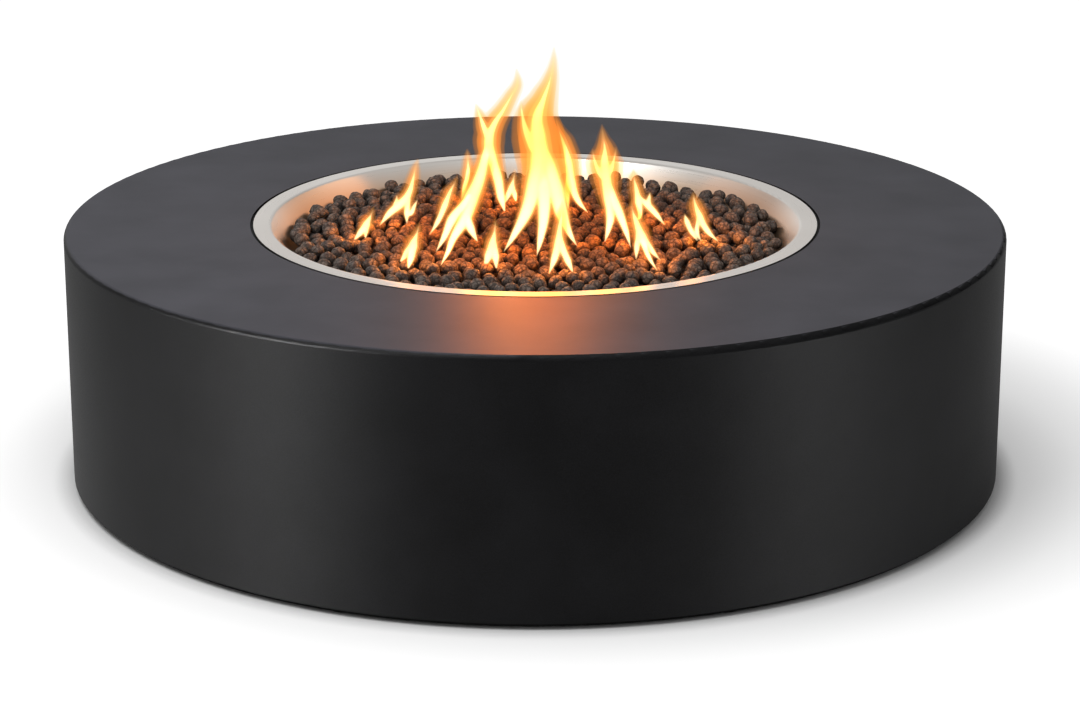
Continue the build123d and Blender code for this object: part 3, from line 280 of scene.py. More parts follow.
# %% Small parts: plated steel, brass, copper, rubber, plastic, ceramic
# slot: name, dark colour, light colour, metallic, roughness from and to, grit in mm, bump in mm, IOR
SMALL_PARTS = {
    "burner_steel": ("heat_browned_stainless", "#4b4038", "#8a7a68", 1.0, (0.35, 0.55), 9.0, 0.05, None),
    "zinc": ("zinc_plated_steel", "#8f949a", "#b9bec3", 1.0, (0.30, 0.48), 3.0, 0.05, None),
    "brass": ("machined_brass", "#9c7a35", "#c9a558", 1.0, (0.24, 0.40), 1.2, 0.03, None),
    "copper": ("drawn_copper", "#8a4a2c", "#bd744c", 1.0, (0.25, 0.42), 2.0, 0.03, None),
    "chrome": ("chrome_plate", "#b4b5b7", "#d3d4d6", 1.0, (0.08, 0.18), 6.0, 0.02, None),
    "rubber": ("moulded_rubber", "#101010", "#1c1c1b", 0.0, (0.75, 0.92), 1.5, 0.10, 1.52),
    "glass_fibre": ("woven_glass_fibre", "#7d786e", "#b7b1a4", 0.0, (0.80, 0.95), 1.4, 0.30, 1.55),
    "knob_black": ("black_phenolic", "#0e0e0f", "#1a1a1b", 0.0, (0.42, 0.58), 0.9, 0.04, 1.6),
    "ceramic": ("unglazed_alumina", "#cdc5b4", "#e6dfd0", 0.0, (0.55, 0.72), 1.0, 0.05, 1.76),
    "battery": ("shrink_sleeve", "#2a2d31", "#3b3f45", 0.0, (0.22, 0.34), 4.0, 0.02, 1.54),
    "lead_sleeve": ("red_silicone_sleeve", "#5e1712", "#7c241c", 0.0, (0.55, 0.70), 1.0, 0.05, 1.41),
}

for slot, (name, dark, light, metallic, rough, grit_mm, bump_mm, ior) in SMALL_PARTS.items():
    finish, tree, shader, place = start_finish(name, {"Metallic": metallic})
    if ior:
        shader.inputs["IOR"].default_value = ior
    grit = add(tree, "TexNoise", {"Vector": place, "Scale": per_metre(grit_mm), "Detail": 4.0})
    tone = add(tree, "ValToRGB", {"Fac": grit.outputs["Fac"]}, ramp=((0.3, dark), (0.7, light)))
    gloss = add(tree, "MapRange", {"Value": grit.outputs["Fac"], 1: 0.3, 2: 0.7, 3: rough[0], 4: rough[1]})
    bump = add(tree, "Bump", {"Height": grit.outputs["Fac"], "Strength": 0.3, "Distance": bump_mm * MM})
    tree.links.new(tone.outputs["Color"], shader.inputs["Base Color"])
    tree.links.new(gloss.outputs["Result"], shader.inputs["Roughness"])
    tree.links.new(bump.outputs["Normal"], shader.inputs["Normal"])
    FINISHES[slot] = finish
print("made", len(SMALL_PARTS), "finishes for small parts")

# %% [markdown]
# Lava stone is frozen froth: brown-grey glass full of pores, tumbled until the corners are gone. Each
# stone comes from a different lump, so a random value per island shifts its colour. Fine pits darken it,
# and a net of wandering creases, like those of a walnut, is painted darker as painted shade; both make
# its bump. Where the stones meet, they are painted near black as painted shade, and near the middle,
# where the flames stand, they are painted orange-brown as painted firelight. There is hardly any gloss.

# %% Porous lava stone
PIT_MM = 3.0
CREASE_MM = 7.0
WARP_MM = 4.0
SHADE_REACH_MM = 14.0
CRUST_MM = 1.1
FIRELIGHT_PAINT_MM = (130, 280)

lava, tree, shader, place = start_finish("tumbled_lava_stone", {"IOR": 1.5, "Specular IOR Level": 0.3})
island = add(tree, "NewGeometry").outputs["Random Per Island"]
pits = add(tree, "TexNoise", {"Vector": place, "Scale": per_metre(PIT_MM), "Detail": 5.0, "Roughness": 0.65})
drift = add(tree, "TexNoise", {"Vector": place, "Scale": per_metre(2 * CREASE_MM)})
warped = add(tree, "VectorMath", {0: drift.outputs["Color"], 1: [WARP_MM * MM] * 3, 2: place},
             operation="MULTIPLY_ADD")
cells = add(tree, "TexVoronoi", {"Vector": warped.outputs[0], "Scale": per_metre(CREASE_MM)},
            feature="DISTANCE_TO_EDGE")
ridge = add(tree, "MapRange", {"Value": cells.outputs["Distance"], 1: 0.0, 2: 0.20, 3: 0.30, 4: 1.0})
height = add(tree, "Math", {0: pits.outputs["Fac"], 1: 0.8, 2: ridge.outputs["Result"]},
             operation="MULTIPLY_ADD")
brown = add(tree, "ValToRGB", {"Fac": pits.outputs["Fac"]}, ramp=((0.30, "#4a3d35"), (0.70, "#98877a")))
grey = add(tree, "ValToRGB", {"Fac": pits.outputs["Fac"]}, ramp=((0.30, "#3d3734"), (0.70, "#827872")))
stone = add(tree, "Mix", {"Factor": island, 6: brown.outputs["Color"], 7: grey.outputs["Color"]},
            data_type="RGBA")
# painted shade: the creases are painted dark
crease_shade = add(tree, "Mix", {"Factor": ridge.outputs["Result"], 6: linear("#241c18"), 7: stone.outputs[2]},
              data_type="RGBA")
# painted shade: the stones are painted near black where they meet
painted_shade_ao = add(tree, "AmbientOcclusion", {"Distance": SHADE_REACH_MM * MM}, samples=6)
unshaded_share = add(tree, "MapRange", {"Value": painted_shade_ao.outputs["AO"], 1: 0.42, 2: 0.92, 3: 0.03, 4: 1.0})
flat = add(tree, "VectorMath", {0: place, 1: (1, 1, 0)}, operation="MULTIPLY")
reach = add(tree, "VectorMath", {0: flat.outputs[0]}, operation="LENGTH")
# painted firelight: the stones near the middle are painted orange, as the flames light them
heat_tint_and_firelight_paint = add(tree, "MapRange",
           {"Value": reach.outputs["Value"], 1: FIRELIGHT_PAINT_MM[0] * MM, 2: FIRELIGHT_PAINT_MM[1] * MM, 3: 1.0, 4: 0.0})
painted_firelight = add(tree, "Mix", {"Factor": heat_tint_and_firelight_paint.outputs["Result"], 6: crease_shade.outputs[2], 7: linear("#ffc690")},
            data_type="RGBA", blend_type="MULTIPLY")
tone = add(tree, "Mix", {"Factor": unshaded_share.outputs["Result"], 6: linear("#0d0907"), 7: painted_firelight.outputs[2]},
           data_type="RGBA")
crust = add(tree, "Bump", {"Height": height.outputs[0], "Strength": 0.65, "Distance": CRUST_MM * MM})
dull = add(tree, "MapRange", {"Value": pits.outputs["Fac"], 3: 0.95, 4: 0.75})
tree.links.new(tone.outputs[2], shader.inputs["Base Color"])
tree.links.new(dull.outputs["Result"], shader.inputs["Roughness"])
tree.links.new(crust.outputs["Normal"], shader.inputs["Normal"])
FINISHES["lava"] = lava
print("made", lava.name)

# %% [markdown]
# Each solid has a material slot in the model's record. A node with a finish of its own takes that one,
# and every other node takes its slot's finish.

# %% Put the finishes on the solids
for part in frame["record"]["subparts"]:
    solid = frame["nodes"][part["node"]]
    finish = FINISHES.get(part["node"], FINISHES[part["material_slot"]])
    solid.data.materials.clear()
    solid.data.materials.append(finish)

# %% [markdown]
# The stones are loose, and each is a lumpy ball. A ball made from a cube's grid has even facets and no
# poles, and slow noise pushes its points in and out. Folded noise, which only pushes in, adds wrinkles. A
# dozen such balls, turned and sized at random, look like many more.

# %% Lumpy stone shapes
SHAPES = 12
TOP_CELLS = 7
LOW_CELLS = 5
# share of the radius, and lumps per radius
BIG_LUMPS = (0.12, 1.1)
SMALL_LUMPS = (0.06, 2.6)
WRINKLES = (0.10, 4.5)


def lumpy_ball(cells, seed):
    """Points on a unit ball, pushed in and out, with four-cornered faces between them."""
    ball = bmesh.new()
    bmesh.ops.create_cube(ball, size=2)
    bmesh.ops.subdivide_edges(ball, edges=ball.edges[:], cuts=cells - 1, use_grid_fill=True)
    shift = Vector((seed * 3.7, seed * 1.3, seed * 2.1))
    points = []
    for vert in ball.verts:
        way = Vector([math.tan(axis * math.pi / 4) for axis in vert.co]).normalized()
        big, small, fold = [share * noise.noise(way * pitch + shift)
                            for share, pitch in (BIG_LUMPS, SMALL_LUMPS, WRINKLES)]
        points.append(way * (1 + big + small - abs(fold)))
    faces = [[vert.index for vert in face.verts] for face in ball.faces]
    ball.free()
    return np.array(points), np.array(faces)


TOP_SHAPES = [lumpy_ball(TOP_CELLS, seed) for seed in range(SHAPES)]
LOW_SHAPES = [lumpy_ball(LOW_CELLS, seed) for seed in range(SHAPES)]
print("stone points:", len(TOP_SHAPES[0][0]), "and", len(LOW_SHAPES[0][0]))

# %% [markdown]
# Some six hundred stones show, and five hundred more lie half hidden under them. Their places start on a
# sunflower spiral, which fills a disc evenly, and stray a little from it. Stones that overlap are then pushed
# apart, round after round, as settling would. The pan's sloping wall holds them in, and the heap is a little
# higher in the middle. The seed is fixed, so every run makes the same stones.

# %% Places of the stones
PAN_MOUTH_R = 345 * MM
PAN_SLOPE = math.radians(40)
STONE_MM = (19, 26)
STONE_EDGE_Z = PAN_TOP - 16 * MM
STONE_CROWN = 5 * MM
STONE_STRAY = 16 * MM
STONE_JITTER_MM = (-5, 3)
PUSH = 0.4
GOLDEN_TURN = math.pi * (3 - math.sqrt(5))
# number of stones, depth below the heap's surface, and rounds of settling
TOP_LAYER = (610, 4 * MM, 80)
LOW_LAYER = (490, 21 * MM, 40)
rng = random.Random(7)


def wall_reach(height):
    """Inside radius of the pan's sloping wall at a height."""
    return PAN_MOUTH_R - (PAN_TOP - height) * math.tan(PAN_SLOPE)


def crown(reach):
    """Height of the heaped fill at a distance from the axis."""
    edge = wall_reach(STONE_EDGE_Z)
    return STONE_EDGE_Z + STONE_CROWN * (1 - (reach / edge) ** 2)


def settle(count, drop, rounds):
    """Places and radii of one layer of stones, pushed apart where they overlap."""
    radii = np.array([rng.uniform(*STONE_MM) / 2 * MM for _ in range(count)])
    limit = wall_reach(STONE_EDGE_Z - drop) - radii / math.cos(PAN_SLOPE)
    reach = limit * np.sqrt((np.arange(count) + 0.5) / count)
    turn = np.arange(count) * GOLDEN_TURN
    stray = np.array([[rng.uniform(-1, 1), rng.uniform(-1, 1)] for _ in range(count)]) * STONE_STRAY
    spot = np.stack([reach * np.cos(turn), reach * np.sin(turn)], axis=1) + stray
    gap = radii[:, None] + radii[None, :]
    for _ in range(rounds):
        apart = spot[:, None, :] - spot[None, :, :]
        far = np.sqrt((apart ** 2).sum(axis=2)) + np.eye(count)
        push = np.clip(gap - far, 0, None) * (1 - np.eye(count))
        spot = spot + PUSH * (apart / far[:, :, None] * push[:, :, None]).sum(axis=1)
        out = np.sqrt((spot ** 2).sum(axis=1))
        spot *= np.minimum(1, limit / out)[:, None]
    heights = [crown(math.hypot(*place)) - drop + rng.uniform(*STONE_JITTER_MM) * MM for place in spot]
    return np.column_stack([spot, heights]), radii


top_places, top_radii = settle(*TOP_LAYER)
low_places, low_radii = settle(*LOW_LAYER)
print("stones:", len(top_places), "on top and", len(low_places), "below")

# %% [markdown]
# All stones of a layer go into one mesh, which is quicker than a thousand objects. Each takes one of the
# shapes at random, is squashed a little, and is turned about two axes so that no two look alike.

# %% Meshes of the stones
STONE_SHARE = 0.89
SQUASH_SIDE = (0.90, 1.0)
SQUASH_TOP = (0.86, 1.0)


def turn_about(axis):
    """A turn by a random angle."""
    return Matrix.Rotation(rng.uniform(0, math.tau), 3, axis)


def pile(name, shapes, places, radii):
    """All stones of one layer as one mesh."""
    points, faces, first = [], [], 0
    for place, radius in zip(places, radii):
        ball, quads = rng.choice(shapes)
        spin = turn_about("Z") @ turn_about("X")
        squash = np.array([1.0, rng.uniform(*SQUASH_SIDE), rng.uniform(*SQUASH_TOP)])
        points.append((ball * squash * radius * STONE_SHARE) @ np.array(spin).T + place)
        faces.append(quads + first)
        first += len(ball)
    mesh = bpy.data.meshes.new(name)
    mesh.from_pydata(np.concatenate(points).tolist(), [], np.concatenate(faces).tolist())
    mesh.shade_smooth()
    made = bpy.data.objects.new(name, mesh)
    bpy.context.collection.objects.link(made)
    mesh.materials.append(lava)
    return made


top_stones = pile("lava_stones_top", TOP_SHAPES, top_places, top_radii)
low_stones = pile("lava_stones_below", LOW_SHAPES, low_places, low_radii)
print("highest stone:", round(max(vert.co.z for vert in top_stones.data.vertices), 4))

# %% [markdown]
# Under the two layers that can be seen, the fill is one plain dark mass: nobody sees it, and it keeps
# light from leaking up through the gaps. It is a lathed shape that follows the pan's wall.

# %% Dark fill under the stones
FILL_DROP = 26 * MM
FILL_SIDES = 96
FILL_RINGS = 8
FILL_FIT = 0.985
FILL_FOOT_FIT = 0.98

fill_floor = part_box("lava_stones")[0][2]
fill_reach = wall_reach(STONE_EDGE_Z - FILL_DROP) * FILL_FIT
reaches = [fill_reach * ring / FILL_RINGS for ring in range(FILL_RINGS + 1)]
profile = [(reach, crown(reach) - FILL_DROP) for reach in reaches]
profile += [(wall_reach(fill_floor) * FILL_FOOT_FIT, fill_floor), (0.0, fill_floor)]
fill = bmesh.new()
verts = [fill.verts.new((reach, 0, level)) for reach, level in profile]
edges = [fill.edges.new(pair) for pair in zip(verts, verts[1:])]
bmesh.ops.spin(fill, geom=verts + edges, cent=(0, 0, 0), axis=(0, 0, 1), angle=math.tau,
               steps=FILL_SIDES)
bmesh.ops.remove_doubles(fill, verts=fill.verts[:], dist=0.01 * MM)
bmesh.ops.recalc_face_normals(fill, faces=fill.faces[:])
fill_mesh = bpy.data.meshes.new("lava_fill")
fill.to_mesh(fill_mesh)
fill.free()
fill_mesh.materials.append(lava)
stone_fill = bpy.data.objects.new("lava_fill", fill_mesh)
bpy.context.collection.objects.link(stone_fill)

for piece in (top_stones, low_stones, stone_fill):
    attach(piece, "pit")
    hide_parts("lava_stones")
print("fill faces:", len(fill_mesh.polygons))

# %% [markdown]
# The flames are burning gas, so they aren't a piece of the pit: they are staged, as a floor is. A flame
# starts as thin legs between the stones, which lean together into one body and end in one or more tips.
# Each leg, body and tip is a strand: a smooth curve with a radius at each of its points. Blender draws
# the strands as tubes, and a voxel remesh joins the tubes of all flames into one closed skin.

# %% Strands of the flames
# each point of a strand: x and y, height above the stones, and radius, all in millimetres
FLAMES = {
    "tall_middle": (
        ((-40, -131, 0, 1.5), (-26, -118, 20, 4), (-11, -105, 46, 8), (-1, -95, 78, 12),
         (6, -90, 112, 18), (4, -90, 140, 19), (3, -90, 164, 17), (11, -90, 189, 11),
         (19, -90, 213, 7), (23, -90, 234, 4), (24, -90, 256, 1)),
        ((5, -90, 112, 8), (-3, -90, 128, 11), (-11, -90, 147, 9), (-16, -90, 168, 5),
         (-18, -90, 187, 1)),
        ((2, -152, 0, 1.5), (7, -135, 19, 4), (11, -115, 42, 7), (11, -98, 72, 11), (7, -90, 110, 9)),
        ((54, -105, 0, 1.5), (43, -102, 19, 4), (34, -98, 41, 8), (26, -94, 71, 12),
         (16, -90, 105, 13), (7, -90, 135, 8)),
    ),
    "behind_middle": (
        ((70, 66, 0, 1.5), (56, 45, 23, 4), (47, 25, 53, 8), (43, 10, 85, 10), (36, 0, 112, 9),
         (30, 0, 130, 5), (26, 0, 147, 1)),
        ((44, 80, 0, 1.5), (42, 50, 33, 5), (44, 16, 69, 6), (42, 9, 88, 4)),
    ),
    "tall_left": (
        ((-40, 64, 0, 1.5), (-45, 50, 25, 5), (-49, 35, 54, 7), (-57, 20, 86, 10), (-60, 10, 113, 12),
         (-53, 5, 134, 10), (-41, 0, 154, 8), (-31, 0, 172, 6.5), (-23, 0, 188, 5), (-24, 0, 209, 1)),
        ((-58, 18, 92, 5), (-61, 10, 113, 9), (-67, 5, 132, 8), (-72, 0, 148, 5), (-77, 0, 163, 1)),
        ((-60, 10, 116, 5), (-65, 8, 90, 8), (-73, -20, 65, 9), (-84, -50, 45, 10), (-90, -75, 31, 8),
         (-104, -110, 13, 5), (-110, -150, 6, 4), (-118, -190, 0, 1.5)),
        ((-84, -50, 47, 5), (-89, -72, 34, 7), (-82, -88, 19, 5), (-73, -86, 0, 1.5)),
        ((-126, -131, 0, 1.5), (-115, -115, 17, 4), (-106, -98, 34, 6), (-92, -70, 46, 5),
         (-84, -50, 54, 3)),
    ),
    "left_of_tall": (
        ((-100, 134, 0, 1.5), (-95, 120, 21, 4), (-90, 110, 44, 6.5), (-90, 110, 62, 5),
         (-91, 110, 78, 1)),
        ((-137, -48, 0, 1.5), (-126, -40, 16, 4), (-117, -30, 35, 6.5), (-110, -25, 52, 6.5),
         (-103, -25, 66, 3), (-100, -25, 74, 1)),
    ),
    "left": (
        ((-204, 4, 0, 1.5), (-190, 4, 17, 5), (-176, 4, 29, 7), (-166, 4, 41, 7), (-159, 4, 62, 6),
         (-156, 4, 76, 4.5), (-152, 4, 90, 1)),
        ((-168, 8, 0, 1.5), (-168, 8, 16, 4.5), (-166, 5, 34, 5), (-163, 4, 48, 3)),
        ((-176, 4, 26, 2), (-182, 4, 27, 4), (-181, 4, 34, 3), (-180, 4, 43, 0.8)),
        ((-167, 6, 14, 2), (-163, 8, 15, 4), (-158, 8, 25, 3), (-153, 8, 35, 0.8)),
    ),
    "far_left": (
        ((-233, -64, 0, 2.5), (-225, -62, 9, 6), (-217, -60, 20, 7), (-211, -60, 32, 4),
         (-207, -60, 44, 0.8)),
        ((-219, -56, 0, 2.5), (-218, -58, 10, 5), (-215, -60, 20, 5)),
    ),
    "front_left": (
        ((-169, -170, 0, 2.5), (-160, -175, 13, 6.5), (-152, -178, 27, 7.5), (-147, -178, 40, 5),
         (-144, -178, 54, 0.8)),
        ((-158, -200, 0, 2.5), (-155, -187, 10, 6.5), (-151, -179, 24, 7), (-148, -178, 36, 3)),
    ),
    "front_small": (
        ((-63, -200, 0, 2.5), (-58, -197, 14, 6.5), (-53, -195, 30, 7.5), (-50, -195, 46, 5),
         (-49, -195, 64, 0.8)),
        ((-48, -204, 0, 2.5), (-49, -199, 14, 6), (-51, -195, 30, 6), (-51, -195, 44, 3)),
    ),
    "front_middle": (
        ((17, -230, 0, 1.5), (24, -222, 18, 5), (29, -222, 39, 7.5), (31, -222, 60, 7),
         (33, -222, 74, 5), (34, -222, 93, 0.8)),
        ((48, -228, 0, 1.5), (41, -222, 15, 5), (33, -222, 36, 6), (31, -222, 54, 4)),
    ),
    "right": (
        ((89, -86, 0, 1.5), (94, -75, 15, 4), (97, -65, 32, 6.5), (94, -60, 55, 9), (91, -60, 79, 12),
         (89, -60, 100, 14), (89, -60, 118, 9), (87, -60, 132, 5), (85, -60, 150, 0.8)),
        ((122, -109, 0, 1.5), (116, -95, 19, 4), (107, -72, 38, 6.5), (98, -62, 60, 7),
         (92, -60, 82, 5)),
        ((93, -60, 72, 5), (84, -60, 84, 8), (77, -60, 99, 6), (73, -60, 118, 0.8)),
        ((91, -60, 76, 5), (97, -60, 90, 8), (101, -60, 104, 5), (104, -60, 121, 0.8)),
    ),
    "front_right": (
        ((158, -165, 0, 1.5), (145, -162, 14, 5), (134, -160, 30, 8), (127, -158, 48, 8),
         (122, -158, 64, 5), (121, -158, 78, 0.8)),
        ((127, -165, 0, 1.5), (128, -160, 15, 4.5), (130, -160, 32, 6), (127, -158, 48, 4)),
        ((152, -209, 0, 1.5), (142, -180, 10, 4), (135, -164, 25, 5), (130, -159, 40, 3)),
    ),
    "back_right": (
        ((134, 30, 0, 1.5), (137, 8, 13, 4), (135, 6, 30, 7), (132, 6, 48, 7), (129, 6, 62, 5.5),
         (128, 6, 76, 0.8)),
        ((170, 4, 0, 1.5), (159, 4, 14, 4.5), (147, 4, 27, 6), (138, 5, 36, 4), (133, 6, 46, 2)),
        ((152, 4, 21, 3), (148, 4, 30, 5), (149, 4, 38, 4), (150, 4, 46, 0.8)),
    ),
    "far_right": (
        ((236, -74, 0, 1.5), (221, -70, 14, 5), (211, -70, 33, 7.5), (205, -70, 49, 7),
         (202, -70, 66, 0.8)),
        ((209, -74, 0, 1.5), (201, -70, 12, 4.5), (195, -70, 25, 5), (191, -70, 37, 0.8)),
        ((214, -76, 0, 1.5), (208, -72, 12, 4), (209, -70, 30, 4), (206, -70, 46, 3)),
    ),
    "back_small": (
        ((-43, 110, 0, 2.5), (-37, 110, 13, 5.5), (-32, 110, 24, 6.5), (-29, 110, 36, 4.5),
         (-27, 110, 50, 0.8)),
        ((-26, 130, 0, 2.5), (-28, 115, 14, 5), (-30, 110, 26, 5), (-29, 110, 34, 2)),
    ),
}
FOOT_LIFT = 2 * MM
# a strand has half its radius at the foot, and all of it from 20 mm up
FOOT_SLIM = 0.5
SLIM_HEIGHT = 40
FLAME_VOXEL = 1.2 * MM
FLAME_SMOOTHING = 8


def flame_skin(name, share, fade):
    """All strands as one skin; share scales their radii, and fade thins them towards the tips."""
    curve = bpy.data.curves.new(name, "CURVE")
    curve.dimensions = "3D"
    curve.bevel_depth = MM
    curve.bevel_resolution = 3
    curve.resolution_u = 8
    curve.use_fill_caps = True
    for strands in FLAMES.values():
        top = max(point[2] for strand in strands for point in strand)
        for strand in strands:
            spline = curve.splines.new("BEZIER")
            spline.bezier_points.add(len(strand) - 1)
            for knot, (x, y, height, radius) in zip(spline.bezier_points, strand):
                ground = crown(math.hypot(x, y) * MM) + FOOT_LIFT
                knot.co = (x * MM, y * MM, ground + height * MM)
                slim = min(1, FOOT_SLIM + height / SLIM_HEIGHT)
                knot.radius = radius * slim * share * (1 - fade * height / top)
                knot.handle_left_type = knot.handle_right_type = "AUTO"
    drawn = bpy.data.objects.new(name, curve)
    bpy.context.collection.objects.link(drawn)
    graph = bpy.context.evaluated_depsgraph_get()
    mesh = bpy.data.meshes.new_from_object(drawn.evaluated_get(graph))
    bpy.data.objects.remove(drawn)
    made = bpy.data.objects.new(name, mesh)
    bpy.context.collection.objects.link(made)
    join = made.modifiers.new("join", "REMESH")
    join.mode = "VOXEL"
    join.voxel_size = FLAME_VOXEL
    made.modifiers.new("soften", "SMOOTH").iterations = FLAME_SMOOTHING
    return made


print("flames:", len(FLAMES), "strands:", sum(len(strands) for strands in FLAMES.values()))

# %% [markdown]
# A flame has no surface, so its skin gets no surface shader, only a volume that takes away some of the
# light behind it and gives light of its own. Five skins lie inside each other, from a faint orange halo to
# a pale yellow heart that ends below the tips. Where the line of sight runs through more flame the colour
# climbs from orange over yellow to white, and this holds from every side.

# %% Glow of the flames
# skin: share of the radius, fade to the tips, and light taken and given per metre in red, green and blue
FLAME_SKINS = {
    "flame_halo": (1.90, 0.0, (4, 14, 26), (9, 3.4, 0.6)),
    "flame_veil": (1.58, 0.2, (10, 30, 52), (30, 14, 4)),
    "flame_mantle": (1.42, 0.7, (12, 20, 34), (50, 35, 17)),
    "flame_core": (1.28, 1.0, (20, 22, 28), (130, 110, 66)),
    "flame_heart": (1.04, 1.0, (40, 40, 40), (300, 284, 165)),
}


def glow(name, takes, gives):
    """A volume that absorbs and emits evenly."""
    made = bpy.data.materials.new(name)
    made.use_nodes = True
    tree = made.node_tree
    tree.nodes.remove(tree.nodes["Principled BSDF"])
    dense = max(takes)
    haze = add(tree, "VolumeAbsorption",
               {"Color": [1 - value / dense for value in takes] + [1], "Density": dense})
    bright = max(gives)
    light = add(tree, "Emission", {"Color": [value / bright for value in gives] + [1], "Strength": bright})
    both = add(tree, "AddShader", {0: haze.outputs[0], 1: light.outputs[0]})
    tree.links.new(both.outputs[0], tree.nodes["Material Output"].inputs["Volume"])
    return made


for name, (share, fade, takes, gives) in FLAME_SKINS.items():
    skin = flame_skin(name, share, fade)
    skin.data.materials.clear()
    skin.data.materials.append(glow("burning_gas_" + name, takes, gives))
    skin.visible_diffuse = False
    skin.visible_shadow = False
print("flame skins:", list(FLAME_SKINS))

# %% [markdown]
# The glow of a volume finds its way to the stones only by chance, which renders as noise, so the flames
# are kept out of diffuse light. Small warm lamps carry that light instead: one low at each foot, so that
# the nearest stones glow orange and the rest stay grey, and a weak one in the body of each flame. They are
# hidden from gloss.

# %% Firelight on the stones
FIRELIGHT = {"stones": "#ff9834", "deck": "#ff8430", "pan": "#ffa440"}
FOOT_LAMP_LIFT = 20
FOOT_LAMP_RADIUS = 8
FOOT_WATTS = 0.115
BODY_WATTS_PER_MM = 0.0006


def fire_lamp(name, x, y, lift, radius, watts, lights):
    """A small warm point lamp, with sizes in millimetres, for the dull stones or for a glossy solid."""
    lamp = bpy.data.lights.new(name, "POINT")
    lamp.color = linear(FIRELIGHT[lights])[:3]
    lamp.energy = watts
    lamp.shadow_soft_size = radius * MM
    holder = bpy.data.objects.new(name, lamp)
    holder.location = (x * MM, y * MM, crown(math.hypot(x, y) * MM) + lift * MM)
    holder.visible_diffuse = lights == "stones"
    holder.visible_glossy = lights != "stones"
    bpy.context.collection.objects.link(holder)
    return holder


feet = 0
for name, strands in FLAMES.items():
    knots = [knot for strand in strands for knot in strand]
    for x, y, height, radius in knots:
        if height == 0:
            fire_lamp(f"foot_{feet}", x, y, FOOT_LAMP_LIFT, FOOT_LAMP_RADIUS, FOOT_WATTS, "stones")
            feet += 1
    x, y, height, radius = max(knots, key=lambda knot: knot[3])
    top = max(knot[2] for knot in knots)
    fire_lamp("body_" + name, x, y, height, radius, top * BODY_WATTS_PER_MM, "stones")

# %% [markdown]
# In the gloss of deck and pan, a few wider lamps stand for the bright bodies of the flames. The dull deck
# needs stronger ones than the bright pan to show the same fire, so each has its own, and light linking
# keeps a lamp to the solid it is for.

# %% Firelight in the gloss of deck and pan
# x, y and height above the stones in millimetres, radius in millimetres, and watts
DECK_LAMPS = (
    (-6, -95, 110, 62, 5.6),
    (-72, -10, 90, 45, 1.1),
    (92, -62, 80, 40, 0.4),
)
PAN_LAMPS = (
    (-6, -95, 110, 60, 0.5),
    (-72, -10, 70, 30, 0.4),
    (92, -62, 60, 25, 0.3),
    (-168, 0, 45, 18, 0.3),
    (206, -70, 38, 15, 0.15),
    (135, -160, 40, 15, 0.1),
    (-215, 215, 40, 45, 0.06),
    (215, 215, 40, 45, 0.02),
)


def only(*nodes):
    """A set of objects with these solids in it, for a lamp that lights nothing else."""
    lit = bpy.data.collections.new("only_" + "_".join(nodes))
    for node in nodes:
        lit.objects.link(frame["nodes"][node])
    return lit


for part, node, lamps in (("deck", "deck_plate", DECK_LAMPS), ("pan", "burner_pan", PAN_LAMPS)):
    for index, (x, y, lift, radius, watts) in enumerate(lamps):
        holder = fire_lamp(f"gloss_{part}_{index}", x, y, lift, radius, watts, part)
        holder.light_linking.receiver_collection = only(node)
print("gloss lamps:", len(DECK_LAMPS), "for the deck and", len(PAN_LAMPS), "for the pan")

# %% [markdown]
# The pit stands on a plain white sweep. The floor is an ordinary pale surface that takes the drum's
# shadow. To the camera alone it also shows an even white, so the background is white without more light
# on the object. That white fades out towards the drum as a painted shadow, like the shade that a real
# sweep has under a low edge.

# %% Floor
FLOOR_SIDE = 40.0
FLOOR_WHITE = 0.70
DRUM_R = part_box("drum_wall")[1][0]
# distance from the axis, and how much white the floor shows there
SHADE = (
    (DRUM_R + 2 * MM, 0.0),
    (DRUM_R + 28 * MM, 0.30),
    (DRUM_R + 120 * MM, 0.46),
    (DRUM_R + 380 * MM, FLOOR_WHITE),
)
FIBRE_MM = 2.0

floor_mesh = bpy.data.meshes.new("floor")
half = FLOOR_SIDE / 2
corners = [(-half, -half, 0), (half, -half, 0), (half, half, 0), (-half, half, 0)]
floor_mesh.from_pydata(corners, [], [(0, 1, 2, 3)])
floor = bpy.data.objects.new("floor", floor_mesh)
bpy.context.collection.objects.link(floor)
paper, tree, shader, place = start_finish("white_paper_sweep", {"Roughness": 0.9, "Specular IOR Level": 0.0})
fibre = add(tree, "TexNoise", {"Vector": place, "Scale": per_metre(FIBRE_MM)})
tone = add(tree, "ValToRGB", {"Fac": fibre.outputs["Fac"]}, ramp=((0.3, "#f1f1f1"), (0.7, "#f4f4f4")))
tree.links.new(tone.outputs["Color"], shader.inputs["Base Color"])
seen = add(tree, "LightPath").outputs["Is Camera Ray"]
away = add(tree, "VectorMath", {0: place}, operation="LENGTH").outputs["Value"]
# painted shadow: the camera's white fades out near the drum
painted_shadow_ramp = add(tree, "ValToRGB", {"Fac": away}, ramp=SHADE)
even = add(tree, "Math", {0: seen, 1: painted_shadow_ramp.outputs["Color"]}, operation="MULTIPLY")
white = add(tree, "Emission", {"Color": (1, 1, 1, 1), "Strength": even.outputs[0]})
sweep = add(tree, "AddShader", {0: shader.outputs[0], 1: white.outputs[0]})
tree.links.new(sweep.outputs[0], tree.nodes["Material Output"].inputs["Surface"])
floor_mesh.materials.append(paper)
print("floor side:", FLOOR_SIDE)

# %% [markdown]
# The world gives an even soft light and is plain white to the camera. Gloss needs more shape than that: it
# sees a bright backdrop behind, stronger on the left, a dimmer ceiling, and a dark room in front. So the deck
# and the flange are light, and the wall, which faces the front, stays black.

# %% Surroundings
WORLD_LIGHT = 0.34
GLOSS_BACK = 0.88
GLOSS_FRONT = 0.08
GLOSS_CEILING = 0.60
GLOSS_LEFT = 1.08
GLOSS_RIGHT = 0.76
# parts of a direction of length 1 between which a level changes into the next
BACKDROP_Y = (0.60, 0.95)
CEILING_Z = (0.25, 0.70)
SIDE_X = (-0.35, 0.35)

